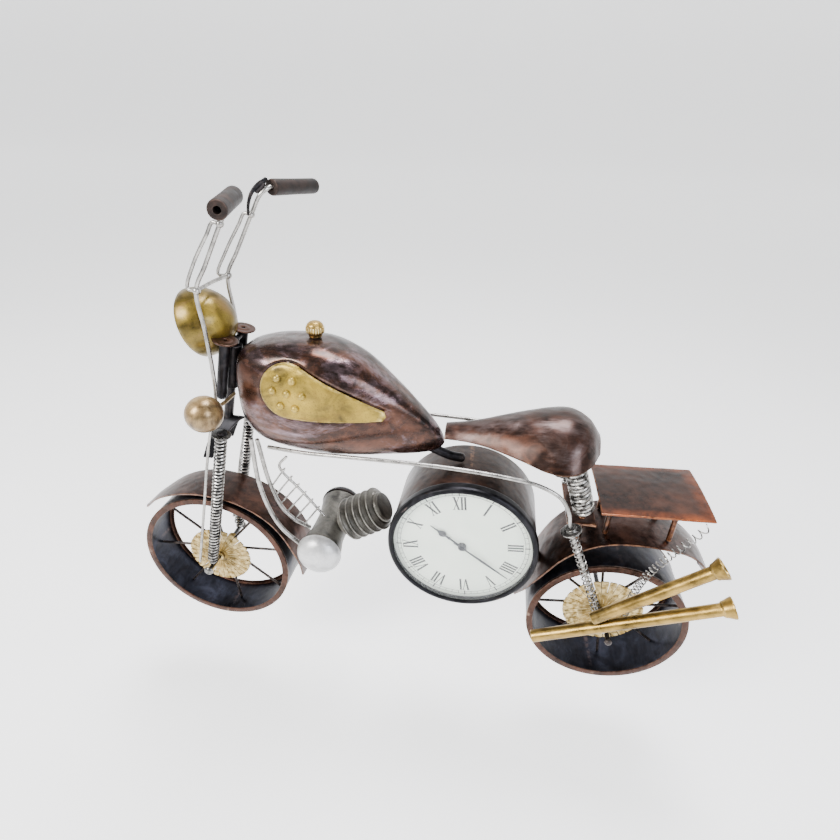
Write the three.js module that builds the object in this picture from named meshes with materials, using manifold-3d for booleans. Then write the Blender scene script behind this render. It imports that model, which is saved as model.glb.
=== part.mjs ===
// Tin motorcycle desk clock: a hand-made model motorcycle of rolled sheet, bent wire and
// coil springs, with a round insert clock in a drum amidships.
// Millimetres, +Z up, front wheel towards -X, dial facing -Y, wheels standing on z = 0.
import * as THREE from 'three';
import { mergeVertices } from 'three/addons/utils/BufferGeometryUtils.js';
import Module from 'manifold-3d';

const wasm = await Module();
wasm.setup();

// ---------------------------------------------------------------- driving dimensions
const gap = 0.3;                 // clearance between touching pieces
const wheelbase = 267.6;
const wheelSides = 40;           // flats round each wheel; one flat stands on the ground
const spokeCount = 8;
const spokeRadius = 0.9;
const rearWheel = { radius: 50, width: 38, wall: 1.4, lip: 4.4, disc: 25.5, discAt: 6.5, turn: 8 };
const frontWheel = { radius: 53, width: 28.5, wall: 1.4, lip: 4.4, disc: 22.5, discAt: 8.5, turn: 5 };
const axleRadius = 1.5;
const frontAxleHead = 4.4;
const rearAxleHead = 2.4;
const hubBore = axleRadius + 0.35;
const hubTube = 3.6;
const hubShoulder = 2.5;         // hub tube beyond the disc
const discThickness = 1;
const wireRadius = 1.3;          // bent wire of the rails and the handlebar

const rake = 12.7;               // degrees the steering axis leans back
const yokeHeight = 218;          // top of the upper fork tubes
const yokeX = -236;              // steering axis there
const forkTubeY = 11;
const forkTubeRadius = 3.1;
const forkTubeEnd = 182.8;       // lower end of the upper tubes
const forkCapRadius = 7.2;
const forkLegY = 19.6;
const forkSpringRadius = 3.7;
const forkSpringTop = 161;
const headTubeRadius = 5;
const stemRadius = 2.9;

const barHeight = 247.5;         // handlebar crossbar
const barX = -244;
const barY = 17;
const gripRadius = 4.3;
const gripLength = 38;
const leverRadius = 1.1;
const gripInner = new THREE.Vector3(-215, 17.5, 295);
const gripOuter = new THREE.Vector3(-203.7, 56, 293.2);

const lampRadius = 10.3;         // ball indicator lamps
const lampAt = new THREE.Vector3(-241.5, 34.5, 184.5);
const headlightRadius = 19.8;
const headlightDepth = 22;
const headlightAt = new THREE.Vector3(-256.3, 0, 224);
const headlightDip = 18;         // degrees the beam points down

const clock = { x: -95.4, z: 105, case: 44.4, wall: 1.2, depth: 42, sight: 42.1, bezel: 45.4 };
const roundSides = 36;           // flats round the drum, bezel and dial
const dialFront = -23.7;
const dialThickness = 0.8;
const bezelFront = -28.4;
const handTilt = -6.5;           // the insert sits turned in its drum
const minuteAngle = 130.9;
const hourAngle = 310.9;
const movement = { side: 56, depth: 16 };

const tankFront = -234;
const tankBack = -112;
const tankHalfWidth = 26;
const tankWall = 1.2;
const panelThickness = 0.8;
const studRadius = 1.8;

const seatSpringRadius = 6.3;
const seatSpringY = 13;
const rack = { front: -21, back: 38, half: 25, low: 144, high: 147.6, thick: 1.2 };
const sheetThickness = 1.2;
const stubHeight = 84;           // stub between the rear fender and the drum
const stubRadius = 3;
const rearFenderHalf = 21;
const frontFenderHalf = 14.6;

const railY = 29;
const shockSpringRadius = 2.9;
const shockBore = wireRadius + 0.8;
const exhaustY = -36.2;
const exhaustRadius = 3.7;
const stretchSpringRadius = 2.4;

const engineAt = { x: -186, z: 84.5 };   // centre of the crankcase
const barrelSlope = 33;                  // degrees the barrel rises towards the drum
const barrelStart = 11.5;
const finRadius = 14.4;
const finCount = 5;
const finPitch = 5.4;
const domeRadius = 14.4;

// ---------------------------------------------------------------- shape helpers
const V = (x, y, z) => new THREE.Vector3(x, y, z);
const rad = THREE.MathUtils.degToRad;

// Bare closed geometry with merged vertices and its faces turned outwards.
function closed(source) {
  const bare = source.clone();
  bare.deleteAttribute('normal');
  bare.deleteAttribute('uv');
  const merged = mergeVertices(bare, 1e-4);
  const p = merged.attributes.position;
  const index = merged.index.array;
  const kept = [];
  let volume = 0;
  for (let i = 0; i < index.length; i += 3) {
    const [a, b, c] = [index[i], index[i + 1], index[i + 2]];
    if (a === b || b === c || a === c) continue;
    kept.push(a, b, c);
    const [A, B, C] = [a, b, c].map((n) => V(p.getX(n), p.getY(n), p.getZ(n)));
    volume += A.dot(B.cross(C));
  }
  if (volume < 0) {
    for (let i = 0; i < kept.length; i += 3) {
      [kept[i + 1], kept[i + 2]] = [kept[i + 2], kept[i + 1]];
    }
  }
  merged.setIndex(kept);
  return merged;
}

function toSolid(geometry) {
  const g = closed(geometry);
  const vertProperties = new Float32Array(g.attributes.position.array);
  const triVerts = new Uint32Array(g.index.array);
  return new wasm.Manifold(new wasm.Mesh({ numProp: 3, vertProperties, triVerts }));
}

function toGeometry(solid) {
  const mesh = solid.getMesh();
  const g = new THREE.BufferGeometry();
  g.setAttribute('position', new THREE.Float32BufferAttribute(mesh.vertProperties, 3));
  g.setIndex([...mesh.triVerts]);
  return g;
}

const join = (first, ...others) =>
  toGeometry(others.reduce((sum, g) => sum.add(toSolid(g)), toSolid(first)));
const cut = (first, ...others) =>
  toGeometry(others.reduce((sum, g) => sum.subtract(toSolid(g)), toSolid(first)));
const overlapOf = (first, ...others) =>
  toGeometry(others.reduce((sum, g) => sum.intersect(toSolid(g)), toSolid(first)));

// Turns a shape made about the Y axis so that Y runs along a direction, then moves it.
function along(geometry, direction, origin) {
  const turn = new THREE.Quaternion().setFromUnitVectors(V(0, 1, 0), direction.clone().normalize());
  return geometry.applyQuaternion(turn).translate(origin.x, origin.y, origin.z);
}

// Solid of revolution about Y from [radius, height] pairs; closeUp joins the last pair to the first.
function turned(pairs, sides = 24, closeUp = false, start = 0) {
  const points = pairs.map(([r, y]) => new THREE.Vector2(r, y));
  if (closeUp) points.push(points[0].clone());
  return closed(new THREE.LatheGeometry(points, sides, start));
}

const disc = (radius, from, to, sides = 24) =>
  turned([[0, from], [radius, from], [radius, to], [0, to]], sides);
const ring = (inner, outer, from, to, sides = 24) =>
  turned([[inner, from], [outer, from], [outer, to], [inner, to]], sides, true);

function rod(from, to, radius, sides = 10) {
  const span = to.clone().sub(from);
  return along(disc(radius, 0, span.length(), sides), span, from);
}

function sleeve(from, to, inner, outer, sides = 12) {
  const span = to.clone().sub(from);
  return along(ring(inner, outer, 0, span.length(), sides), span, from);
}

// Round bar swept along a smooth curve through the points.
function wire(points, radius, steps = 24, sides = 6) {
  const section = new THREE.Shape();
  section.absarc(0, 0, radius, 0, Math.PI * 2, false);
  const path = new THREE.CatmullRomCurve3(points, false, 'centripetal');
  const options = { steps, extrudePath: path, curveSegments: sides / 2, bevelEnabled: false };
  return closed(new THREE.ExtrudeGeometry(section, options));
}

// Sheet of even thickness over the surface at(u, v), u and v from 0 to 1.
function sheet(at, nu, nv, thickness) {
  const box = new THREE.BoxGeometry(1, 1, 1, nu, nv, 1);
  const p = box.attributes.position;
  const step = 1e-3;
  for (let i = 0; i < p.count; i++) {
    const u = p.getX(i) + 0.5;
    const v = p.getY(i) + 0.5;
    const low = Math.min(u, 1 - step);
    const left = Math.min(v, 1 - step);
    const alongU = at(low + step, v).sub(at(low, v));
    const alongV = at(u, left + step).sub(at(u, left));
    const lift = alongU.cross(alongV).normalize().multiplyScalar(p.getZ(i) > 0 ? thickness : 0);
    const spot = at(u, v).add(lift);
    p.setXYZ(i, spot.x, spot.y, spot.z);
  }
  return closed(box);
}

// Closed round body: at(s, angle) for s from 0 to 1 nose to tail.
function body(at, lengthSteps, roundSteps) {
  const ball = new THREE.SphereGeometry(1, roundSteps, lengthSteps);
  const p = ball.attributes.position;
  for (let i = 0; i < p.count; i++) {
    const s = (1 - THREE.MathUtils.clamp(p.getY(i), -1, 1)) / 2;
    const spot = at(s, Math.atan2(p.getZ(i), p.getX(i)));
    p.setXYZ(i, spot.x, spot.y, spot.z);
  }
  return closed(ball);
}

// Value from a smooth curve through [position, value] pairs, position from 0 to 1.
function profile(pairs) {
  const last = pairs.length - 1;
  const slopeAt = (i) => {
    const [a, b] = [pairs[Math.max(i - 1, 0)], pairs[Math.min(i + 1, last)]];
    return (b[1] - a[1]) / (b[0] - a[0]);
  };
  return (position) => {
    const s = THREE.MathUtils.clamp(position, 0, 1);
    const i = Math.min(pairs.findLastIndex(([x]) => x <= s), last - 1);
    const [[x0, y0], [x1, y1]] = [pairs[i], pairs[i + 1]];
    const width = x1 - x0;
    const t = (s - x0) / width;
    const [t2, t3] = [t * t, t * t * t];
    return (2 * t3 - 3 * t2 + 1) * y0 + (t3 - 2 * t2 + t) * width * slopeAt(i)
      + (3 * t2 - 2 * t3) * y1 + (t3 - t2) * width * slopeAt(i + 1);
  };
}

const mirrorY = (geometry) => closed(geometry.clone().scale(1, -1, 1));
const box = (x0, x1, y0, y1, z0, z1) =>
  closed(new THREE.BoxGeometry(x1 - x0, y1 - y0, z1 - z0)
    .translate((x0 + x1) / 2, (y0 + y1) / 2, (z0 + z1) / 2));

// ---------------------------------------------------------------- finishes
const finish = (color, roughness, metalness) =>
  () => new THREE.MeshStandardMaterial({ color, roughness, metalness });
const copper = finish(0x5a3627, 0.4, 0.8);
const black = finish(0x17181c, 0.45, 0.5);
const silver = finish(0xb9b6ad, 0.35, 0.9);
const greyPaint = finish(0x6a675f, 0.5, 0.6);
const brass = finish(0xa98f45, 0.35, 0.9);
const goldPaint = finish(0xa08f43, 0.55, 0.5);
const white = finish(0xe9ece6, 0.6, 0);
const darkPlastic = finish(0x1d1e22, 0.5, 0);
const glassLook = finish(0xdde6ea, 0.05, 0);

const bike = new THREE.Group();
function piece(name, geometry, look) {
  const mesh = new THREE.Mesh(closed(geometry), look());
  mesh.name = name;
  bike.add(mesh);
  return mesh.geometry;
}

function pair(name, geometry, look) {
  piece(`${name}_left`, geometry, look);
  piece(`${name}_right`, mirrorY(geometry), look);
}

// ---------------------------------------------------------------- wheels and axles
const flat = Math.cos(Math.PI / wheelSides);
const rearAxle = V(0, 0, rearWheel.radius * flat);
const frontAxle = V(-wheelbase, 0, frontWheel.radius * flat);

// Sheet band with a turned-in lip along each side.
function rim(wheel, axle) {
  const { radius, width, wall, lip } = wheel;
  const half = width / 2;
  return turned([
    [radius, -half], [radius, half], [radius - lip, half], [radius - lip, half - wall],
    [radius - wall, half - wall], [radius - wall, wall - half], [radius - lip, wall - half],
    [radius - lip, -half],
  ], wheelSides, true, Math.PI / wheelSides).translate(axle.x, 0, axle.z);
}

// Tube on the axle with a slotted disc on the dial side and the spokes beside it.
function hub(wheel, axle) {
  const { disc: r, discAt: y, radius, wall, turn } = wheel;
  const t = discThickness / 2;
  const end = y + hubShoulder;
  const parts = [turned([
    [hubBore, -end], [hubTube, -end], [hubTube, -y - t], [r, -y - t], [r, -y + t],
    [hubTube, -y + t], [hubTube, end], [hubBore, end],
  ], 20, true)];
  for (let i = 0; i < spokeCount; i++) {
    const angle = rad(turn) + i * 2 * Math.PI / spokeCount;
    const out = V(Math.cos(angle), 0, Math.sin(angle));
    parts.push(rod(out.clone().multiplyScalar((hubBore + hubTube) / 2),
      out.clone().multiplyScalar(radius - wall - gap), spokeRadius, 6));
  }
  return join(...parts).translate(axle.x, 0, axle.z);
}

// Axle with a fixed round head on each end.
function axleBar(reach, head, at) {
  return turned([
    [0, -reach - 2], [head * 0.7, -reach - 2], [head, -reach], [axleRadius, -reach],
    [axleRadius, reach], [head, reach], [head * 0.7, reach + 2], [0, reach + 2],
  ], 16).translate(at.x, 0, at.z);
}

piece('front_rim', rim(frontWheel, frontAxle), copper);
piece('front_hub', hub(frontWheel, frontAxle), brass);
piece('rear_rim', rim(rearWheel, rearAxle), copper);
piece('rear_hub', hub(rearWheel, rearAxle), brass);

const frontReach = forkLegY + forkSpringRadius + 1;   // half length of each axle inside its heads
const rearReach = railY + wireRadius + 0.9;
piece('front_axle', axleBar(frontReach, frontAxleHead, frontAxle), silver);
piece('rear_axle', axleBar(rearReach, rearAxleHead, rearAxle), silver);

// ---------------------------------------------------------------- fork
const steer = V(Math.sin(rad(rake)), 0, Math.cos(rad(rake)));
const slope = Math.tan(rad(rake));
const onFork = (z, y = 0) => V(yokeX + (z - yokeHeight) * slope, y, z);
const onLeg = (z, y = forkLegY) =>
  V(frontAxle.x + (z - frontAxle.z) * slope, y, z);

const tubeTop = onFork(yokeHeight, -forkTubeY);
const tubeFoot = onFork(forkTubeEnd, -forkTubeY);
const tubeLength = tubeTop.distanceTo(tubeFoot);
pair('fork_tube', along(turned([
  [0, 0], [forkTubeRadius * 0.7, 0.5], [forkTubeRadius, 2], [forkTubeRadius, tubeLength],
  [0, tubeLength],
], 14), steer, tubeFoot), black);
pair('fork_cap', along(ring(1.1, forkCapRadius, gap, gap + 1.2, 24), steer, tubeTop), copper);

const headTop = yokeHeight - 5;
const headFoot = forkTubeEnd + 3.5;
const headTube = sleeve(onFork(headFoot), onFork(headTop), stemRadius + gap, headTubeRadius, 20);

// Stem with the cross bar that ties the upper tubes and the arm that holds the headlight.
const bowlSteps = 5;
const barFrom = onFork(headTop + 0.6 + 1.6);
const crossHalf = forkTubeY - forkTubeRadius - gap;
const headlightAxis = V(-Math.cos(rad(headlightDip)), 0, -Math.sin(rad(headlightDip)));
const stem = rod(onFork(163), onFork(yokeHeight - 1), stemRadius, 16);
const crossBar = rod(V(barFrom.x, -crossHalf, barFrom.z), V(barFrom.x, crossHalf, barFrom.z), 1.6, 8);
const bowlLine = (radius, depth) => {
  const points = [];
  for (let i = 0; i <= bowlSteps; i++) {
    const a = (i / bowlSteps) * Math.PI / 2;
    points.push([radius * Math.sin(a) ** 1.12, -depth * Math.cos(a)]);
  }
  return points;
};
const bowlRoom = along(turned([...bowlLine(headlightRadius + gap, headlightDepth + gap),
  [0, 0]], 20), headlightAxis, headlightAt);
const armEnd = headlightAt.clone().addScaledVector(headlightAxis, -6);
const headlightArm = cut(rod(barFrom, armEnd, 1.6, 8), bowlRoom);
piece('steering_stem', join(stem, crossBar, headlightArm), black);

// Crown arch: a strip bent over the wheel from leg to leg, widest in the middle.
const crownTop = 165;
const crownDrop = 24;
const crownReach = forkLegY - forkSpringRadius - 1.2;
function crownAt(u, v) {
  const t = u * 2 - 1;
  const y = t * crownReach;
  const z = crownTop - crownDrop * Math.abs(t) ** 1.7;
  const wide = 17 - 11 * Math.abs(t);
  const forward = 7 * Math.abs(t);
  const foot = onFork(z);
  return V(foot.x + 2 - forward + (v - 0.5) * wide, y, z);
}
const crownSheet = sheet(crownAt, 14, 3, 1.4);
piece('fork_crown', cut(crownSheet, rod(onFork(150), onFork(180), stemRadius + gap, 16)), black);

// Lower legs: an inner rod with a washer on top, inside a coil spring.
const legTop = onLeg(forkSpringTop + 4);
const legFoot = onLeg(frontAxle.z + axleRadius + 1);
const legAxis = legTop.clone().sub(legFoot);
const legLength = legAxis.length();
const washerAt = legLength - 3;
const legRod = turned([
  [0, 0], [2, 0], [2, washerAt], [5, washerAt], [5, washerAt + 1], [3.4, washerAt + 2.4],
  [1.6, legLength], [0, legLength],
], 14);
const legShape = along(legRod, legAxis, legFoot);
piece('fork_rod_right', legShape, black);
piece('fork_rod_left', mirrorY(legShape), black);
const springFrom = onLeg(frontAxle.z + axleRadius + 4);
const springTo = legFoot.clone().addScaledVector(legAxis.clone().normalize(), washerAt - gap);
const legSpring = sleeve(springFrom, springTo, 2 + gap, forkSpringRadius, 14);
piece('fork_spring_right', legSpring, silver);
piece('fork_spring_left', mirrorY(legSpring), silver);

// ---------------------------------------------------------------- handlebar
const wireY = forkLegY + forkSpringRadius + wireRadius * 0.7 + gap;
const gripAxis = gripOuter.clone().sub(gripInner).normalize();
const mainWire = wire([
  onLeg(frontAxle.z + 7.5, wireY).add(V(-7, 0, 0)),
  onLeg(112, wireY).add(V(-6, 0, 0)),
  onLeg(160, wireY).add(V(-5, 0, 0)),
  V(lampAt.x - 1.5, barY + 1.6, lampAt.z + 2),
  V(-242.6, barY + 0.3, 204),
  V(-243.2, barY, 226),
  V(barX, barY, barHeight),
  V(-236.5, barY, 261),
  V(-223.5, barY, 284),
  V(-218.6, barY - 0.4, 291.4),
  gripInner.clone().addScaledVector(gripAxis, 2),
  gripInner.clone().addScaledVector(gripAxis, 6),
  gripInner.clone().addScaledVector(gripAxis, 22),
], wireRadius, 32);
const strand = wire([
  V(barX - 5.5, barY - 1, barHeight - 1),
  V(-243, barY, 261),
  V(-233, barY, 276),
  V(-229.5, barY, 281.5),
], 1, 7);
const strandTie = rod(V(-229.5, barY, 281), V(-224.8, barY, 281.4), 0.9, 6);
const strandFoot = rod(V(barX - 5.5, barY - 1, barHeight - 1), V(barX, barY, barHeight), 0.9, 6);
const lampStub = rod(V(lampAt.x + 3, 5.2, lampAt.z - 1), V(lampAt.x + 3, 26, lampAt.z - 1), 1.1, 8);
const lampBall = new THREE.SphereGeometry(lampRadius, 16, 10).translate(lampAt.x, lampAt.y, lampAt.z);
const wireRoom = wire([
  onLeg(160, wireY).add(V(-5, 0, 0)),
  V(lampAt.x - 1.5, barY + 1.6, lampAt.z + 2),
  V(-242.6, barY + 0.3, 204),
], wireRadius + gap, 8);
const handlebarRight = join(mainWire, strand, strandTie, strandFoot);
const barSpan = barY - wireRadius - gap;
const tieBar = rod(V(barX, -barSpan, barHeight), V(barX, barY, barHeight), 1.1, 8);
piece('handlebar_right', join(handlebarRight, tieBar), silver);
piece('handlebar_left', mirrorY(handlebarRight), silver);
const gripStart = gripInner.clone().addScaledVector(gripAxis, 3.6);
const grip = along(ring(wireRadius + 0.8, gripRadius, 0, gripLength, 20), gripAxis, gripStart);
piece('grip_right', grip, black);
piece('grip_left', mirrorY(grip), black);
const leverPath = [V(-224.9, 12.9, 281.5), V(-224.2, 13.1, 287), V(-222.2, 14.2, 292.4),
  V(-219, 16.6, 296.4), V(-216.6, 18.9, 298), V(-215.9, 20, 298.6)];
piece('brake_lever', wire(leverPath, leverRadius, 12), black);

// ---------------------------------------------------------------- lamps
const lamp = cut(join(lampBall, lampStub), wireRoom);
piece('lamp_right', lamp, goldPaint);
piece('lamp_left', mirrorY(lamp), goldPaint);

// Headlight bowl open towards the front, with a flat lens in its mouth.
const bowl = turned([...bowlLine(headlightRadius, headlightDepth),
  ...bowlLine(headlightRadius - 1, headlightDepth - 1).reverse()], 20);
const capRoom = along(disc(forkCapRadius + gap, 0, 1.2 + 2 * gap, 16), steer, tubeTop);
const headRoom = rod(onFork(headFoot), onFork(headTop + gap), headTubeRadius + gap, 16);
const barRoom = rod(onFork(headTop), onFork(yokeHeight + 0.4), crossHalf + gap, 16);
piece('headlight_bowl', cut(along(bowl, headlightAxis, headlightAt), capRoom, mirrorY(capRoom),
  headRoom, barRoom), goldPaint);
const lens = turned([
  [0, -1.6], [headlightRadius - 1.6 - gap, -1.6], [headlightRadius - 1 - gap, 0], [10, 1.4], [0, 1.8],
], 20);
piece('headlight_lens', along(lens, headlightAxis, headlightAt), glassLook);

// ---------------------------------------------------------------- fenders
// A strip bent along a path in the XZ plane; half gives its half width along the path.
function fender(points, half, crown, nu, nv) {
  const path = new THREE.CatmullRomCurve3(points.map(([x, z]) => V(x, 0, z)), false, 'centripetal');
  return sheet((u, v) => {
    const spot = path.getPoint(u);
    const side = (v * 2 - 1) * half(u);
    const ahead = path.getTangent(u);
    const out = V(-ahead.z, 0, ahead.x);
    return spot.addScaledVector(out, crown * (1 - (v * 2 - 1) ** 2)).setY(side);
  }, nu, nv, sheetThickness);
}

const fa = frontAxle;
const frontFenderPath = [
  [fa.x - 54, fa.z + 29], [fa.x - 41, fa.z + 41.5], [fa.x - 27, fa.z + 50.5], [fa.x - 13, fa.z + 55.4],
  [fa.x, fa.z + 56.6], [fa.x + 17, fa.z + 54.5], [fa.x + 33, fa.z + 48], [fa.x + 47, fa.z + 36.5],
  [fa.x + 56, fa.z + 22], [fa.x + 60.5, fa.z + 7], [fa.x + 60.5, fa.z - 8],
];
const frontHalf = profile([[0, 1.5], [0.12, 8], [0.22, 12.5], [0.34, frontFenderHalf],
  [0.5, frontFenderHalf], [0.7, frontFenderHalf], [0.85, frontFenderHalf], [1, 9]]);
piece('front_fender', fender(frontFenderPath, frontHalf, 0.8, 28, 4), copper);

const rearFenderPath = [
  [-56.5, 49], [-51.5, 66], [-44.5, 84], [-33, 103.5], [-16, 115.5], [4, 119.3], [24, 117],
  [38.5, 110.2], [48, 101], [52, 90],
];
const rearHalf = profile([[0, 2.5], [0.1, 12], [0.22, 18.5], [0.36, rearFenderHalf],
  [0.55, rearFenderHalf], [0.72, 20], [0.84, 15], [0.93, 12], [1, 5]]);
const rearFenderSheet = fender(rearFenderPath, rearHalf, 0.8, 28, 4);
const rearFenderLine = new THREE.CatmullRomCurve3(rearFenderPath.map(([x, z]) => V(x, 0, z)), false,
  'centripetal').getPoints(200);
// Lowest height at x that stands clear on top of the rear fender.
const overFender = (x) => rearFenderLine.reduce((near, q) =>
  (Math.abs(q.x - x) < Math.abs(near.x - x) ? q : near)).z + sheetThickness + 0.8 + 2 * gap;

// ---------------------------------------------------------------- clock
const drumBack = clock.depth / 2;
const drumFront = -clock.depth / 2;
const atClock = (g) => g.translate(clock.x, 0, clock.z);
const drum = ring(clock.case - clock.wall, clock.case, drumFront, drumBack, roundSides);
piece('clock_case', atClock(drum), copper);
const skirt = clock.case - clock.wall - gap;
const seatRadius = clock.sight + 0.5;
piece('clock_bezel', atClock(turned([
  [clock.sight - 0.6, bezelFront + 1.3], [clock.sight, bezelFront], [clock.bezel - 1.2, bezelFront + 0.3],
  [clock.bezel, bezelFront + 2.2], [clock.bezel, drumFront - gap], [skirt, drumFront - gap],
  [skirt, -14], [seatRadius - 2.5, -14], [seatRadius - 2.5, -16], [seatRadius, -16],
  [seatRadius, bezelFront + 1.3],
], roundSides, true)), black);
const glassFront = bezelFront + 1.6;
piece('clock_glass', atClock(disc(seatRadius - gap, glassFront, glassFront + 1, roundSides)), glassLook);
const dialBack = dialFront + dialThickness;
const shaftRadius = 2.2;
const dial = ring(shaftRadius + gap, seatRadius - gap, dialFront, dialBack, roundSides);
piece('clock_dial', atClock(dial), white);

const movementFront = dialBack + gap;
const half = movement.side / 2;
const movementBack = movementFront + movement.depth;
const batteryRadius = 7.2;
const batteryAt = V(-24, movementBack - 5.2, -half + 10);
const bay = box(-26.5, 26.5, movementBack - 13, movementBack + 2, -half + 2.2, -half + 17.8);
const frontPlate = disc(seatRadius - gap, movementFront, movementFront + 1.2, roundSides);
const movementBox = box(-half, half, movementFront, movementBack, -half, half);
const shaft = disc(shaftRadius, dialFront - 0.6, movementFront + 1, 12);
const knobAt = V(14, movementBack, 12);
piece('clock_movement', atClock(cut(join(frontPlate, movementBox, shaft), bay)), darkPlastic);
const batteryBody = turned([
  [0, 0], [batteryRadius, 0], [batteryRadius, 46.5], [2.6, 46.5], [2.6, 48], [0, 48],
], 16);
piece('clock_battery', atClock(along(batteryBody, V(1, 0, 0), batteryAt)), copper);
piece('setting_knob', atClock(turned([
  [0, gap], [3, gap], [3, 2], [6.5, 2], [6.5, 5.5], [0, 5.5],
], 18).translate(knobAt.x, knobAt.y, knobAt.z)), darkPlastic);

// Hands are thin plates drawn pointing up, then turned clockwise to the time they show.
function hand(points, eye, front, thickness, degrees) {
  const outline = new THREE.Shape(points.map(([x, z]) => new THREE.Vector2(x, z)));
  const blade = new THREE.ExtrudeGeometry(outline, { depth: thickness, bevelEnabled: false })
    .rotateX(Math.PI / 2).translate(0, front + thickness, 0);
  const boss = disc(eye, front, front + thickness, 16);
  return atClock(join(blade, boss).rotateY(rad(degrees)));
}
const shown = (angle) => angle + handTilt;
piece('hour_hand', hand([[-0.7, -3], [0.7, -3], [0.5, 12], [2.2, 15], [0.4, 18], [0.2, 24], [-0.2, 24],
  [-0.4, 18], [-2.2, 15], [-0.5, 12]], 2.4, dialFront - 1.3, 0.35, shown(hourAngle)), black);
piece('minute_hand', hand([[-0.7, -6], [0.7, -6], [0.45, 24], [0.15, 35.5], [-0.15, 35.5],
  [-0.45, 24]], 2.4, dialFront - 2, 0.35, shown(minuteAngle)), black);

// ---------------------------------------------------------------- frame
const backboneRadius = 2.8;
const headBack = onFork(200).x + headTubeRadius * 0.7;
const overDrum = clock.z + clock.case + backboneRadius + gap;
const backbonePath = [
  V(headBack, 0, 200), V(-212, 0, 190), V(-180, 0, 172), V(-150, 0, 163.5), V(-125, 0, overDrum + 7),
  V(clock.x - 12, 0, overDrum + 0.9), V(clock.x, 0, overDrum), V(clock.x + 9, 0, overDrum),
];
const backboneBar = wire(backbonePath, backboneRadius, 16, 8);
const stemRoom = rod(onFork(headFoot - 5), onFork(headTop + 5), stemRadius + gap, 20);
piece('backbone', cut(join(backboneBar, headTube), stemRoom), black);

// The rear fender carries the shelf that the seat springs stand on, on two posts, and a stub
// that reaches the back of the drum.
const springFoot = 133.6;
const shelf = box(-37, -20.5, -19.5, 19.5, springFoot - 3.9, springFoot - 2.5);
const posts = [-1, 1].map((side) => rod(V(-28, side * seatSpringY, overFender(-28) - 1.4),
  V(-28, side * seatSpringY, springFoot - 3), 2.2, 8));
const drumRoom = atClock(disc(clock.case + gap, -clock.case, clock.case, roundSides));
const drumStub = cut(rod(V(-64, 0, stubHeight), V(-45.3, 0, stubHeight), stubRadius, 12), drumRoom);
piece('rear_fender', join(rearFenderSheet, shelf, ...posts, drumStub), copper);

// Side rails run back under the tank and seat, turn down through the shock washer and end on
// the rear axle.
const shockTop = V(-36.6, railY, 133.5);
const shockFoot = V(-3.6, railY, rearAxle.z + 5);
const shockAxis = shockTop.clone().sub(shockFoot).normalize();
const rail = wire([
  V(-214, 20, 158), V(-190, 25.5, 160.5), V(-164, railY - 0.5, 163), V(-111, railY, 164),
  V(-75, railY, 162), V(-57, railY, 159), V(-44.5, railY, 152.3), V(-39, railY, 143), shockTop,
  V(-20, railY, 94.5), shockFoot,
], wireRadius, 40);
piece('rail_right', rail, silver);
piece('rail_left', mirrorY(rail), silver);
const washerFoot = shockTop.clone().addScaledVector(shockAxis, -2);
const shockLength = washerFoot.distanceTo(shockFoot) - 3;
const shock = along(turned([
  [shockBore, 0], [shockSpringRadius, 0], [shockSpringRadius, shockLength],
  [6, shockLength + 0.6], [6, shockLength + 1.4], [shockBore + 1, shockLength + 3.2],
  [shockBore, shockLength + 3.2],
], 16, true), shockAxis, shockFoot.clone().addScaledVector(shockAxis, 2));
piece('shock_right', shock, silver);
piece('shock_left', mirrorY(shock), silver);

// Down tubes from under the tank to the crankcase, and the wire ladder beside the inner one.
const downLeft = wire([
  V(-227, -15, 159), V(-225.5, -16, 127.5), V(-220.5, -16, 106), V(-213.5, -16, 92),
  V(-203.5, -16.5, 82.5), V(-200.2, -17, 80.3),
], 1.4, 18);
const downRight = wire([
  V(-228, -6, 153), V(-224.5, -4, 119), V(-218.5, -4, 100.5), V(-210.5, -4, 91), V(-199.5, -4, 85.5),
], 1.4, 16);
const ladderTop = V(-216, -5, 134);
const ladderFoot = V(-188.5, -5, 98.2);
const ladderRail = wire([V(-210.5, -5, 142), ladderTop, ladderTop.clone().lerp(ladderFoot, 0.5),
  ladderFoot], 0.9, 8);
const ladder = [ladderRail];
const tubeCurve = new THREE.CatmullRomCurve3([
  V(-224.5, -4, 119), V(-218.5, -4, 100.5), V(-210.5, -4, 91), V(-199.5, -4, 85.5)]);
const rungCount = 6;
for (let i = 0; i < rungCount; i++) {
  const t = (i + 0.4) / rungCount;
  const upper = ladderTop.clone().lerp(ladderFoot, t * 0.92 + 0.02);
  const lower = tubeCurve.getPoint(t);
  const over = upper.clone().sub(lower).normalize().multiplyScalar(2.5);
  ladder.push(rod(lower, upper.clone().add(over), 0.6, 5));
}
piece('down_tube_right', join(downRight, ...ladder), silver);

// ---------------------------------------------------------------- engine
const waist = 11.2;
const flareAt = 24;
const crankcase = turned([
  [0, -flareAt], [domeRadius - 0.6, -flareAt], [waist, -9], [waist, 9], [domeRadius - 0.6, flareAt],
  [0, flareAt],
], 24).translate(engineAt.x, 0, engineAt.z);
const barrelAxis = V(Math.cos(rad(barrelSlope)), 0, Math.sin(rad(barrelSlope)));
const barrelProfile = [[0, barrelStart], [9.5, barrelStart]];
for (let i = 0; i < finCount; i++) {
  const y = 17 + i * finPitch;
  barrelProfile.push([10.5, y], [finRadius, y + 0.6], [finRadius, y + 1.6], [10.5, y + 3.4]);
}
const barrelEnd = 17 + finCount * finPitch;
barrelProfile.push([10.5, barrelEnd], [9, barrelEnd + 1.5], [0, barrelEnd + 1.5]);
const barrel = along(turned(barrelProfile, 20), barrelAxis, V(engineAt.x, 0, engineAt.z));
piece('engine_barrel', cut(barrel, drumRoom), greyPaint);
const engineRoom = V(engineAt.x, 0, engineAt.z);
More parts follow.
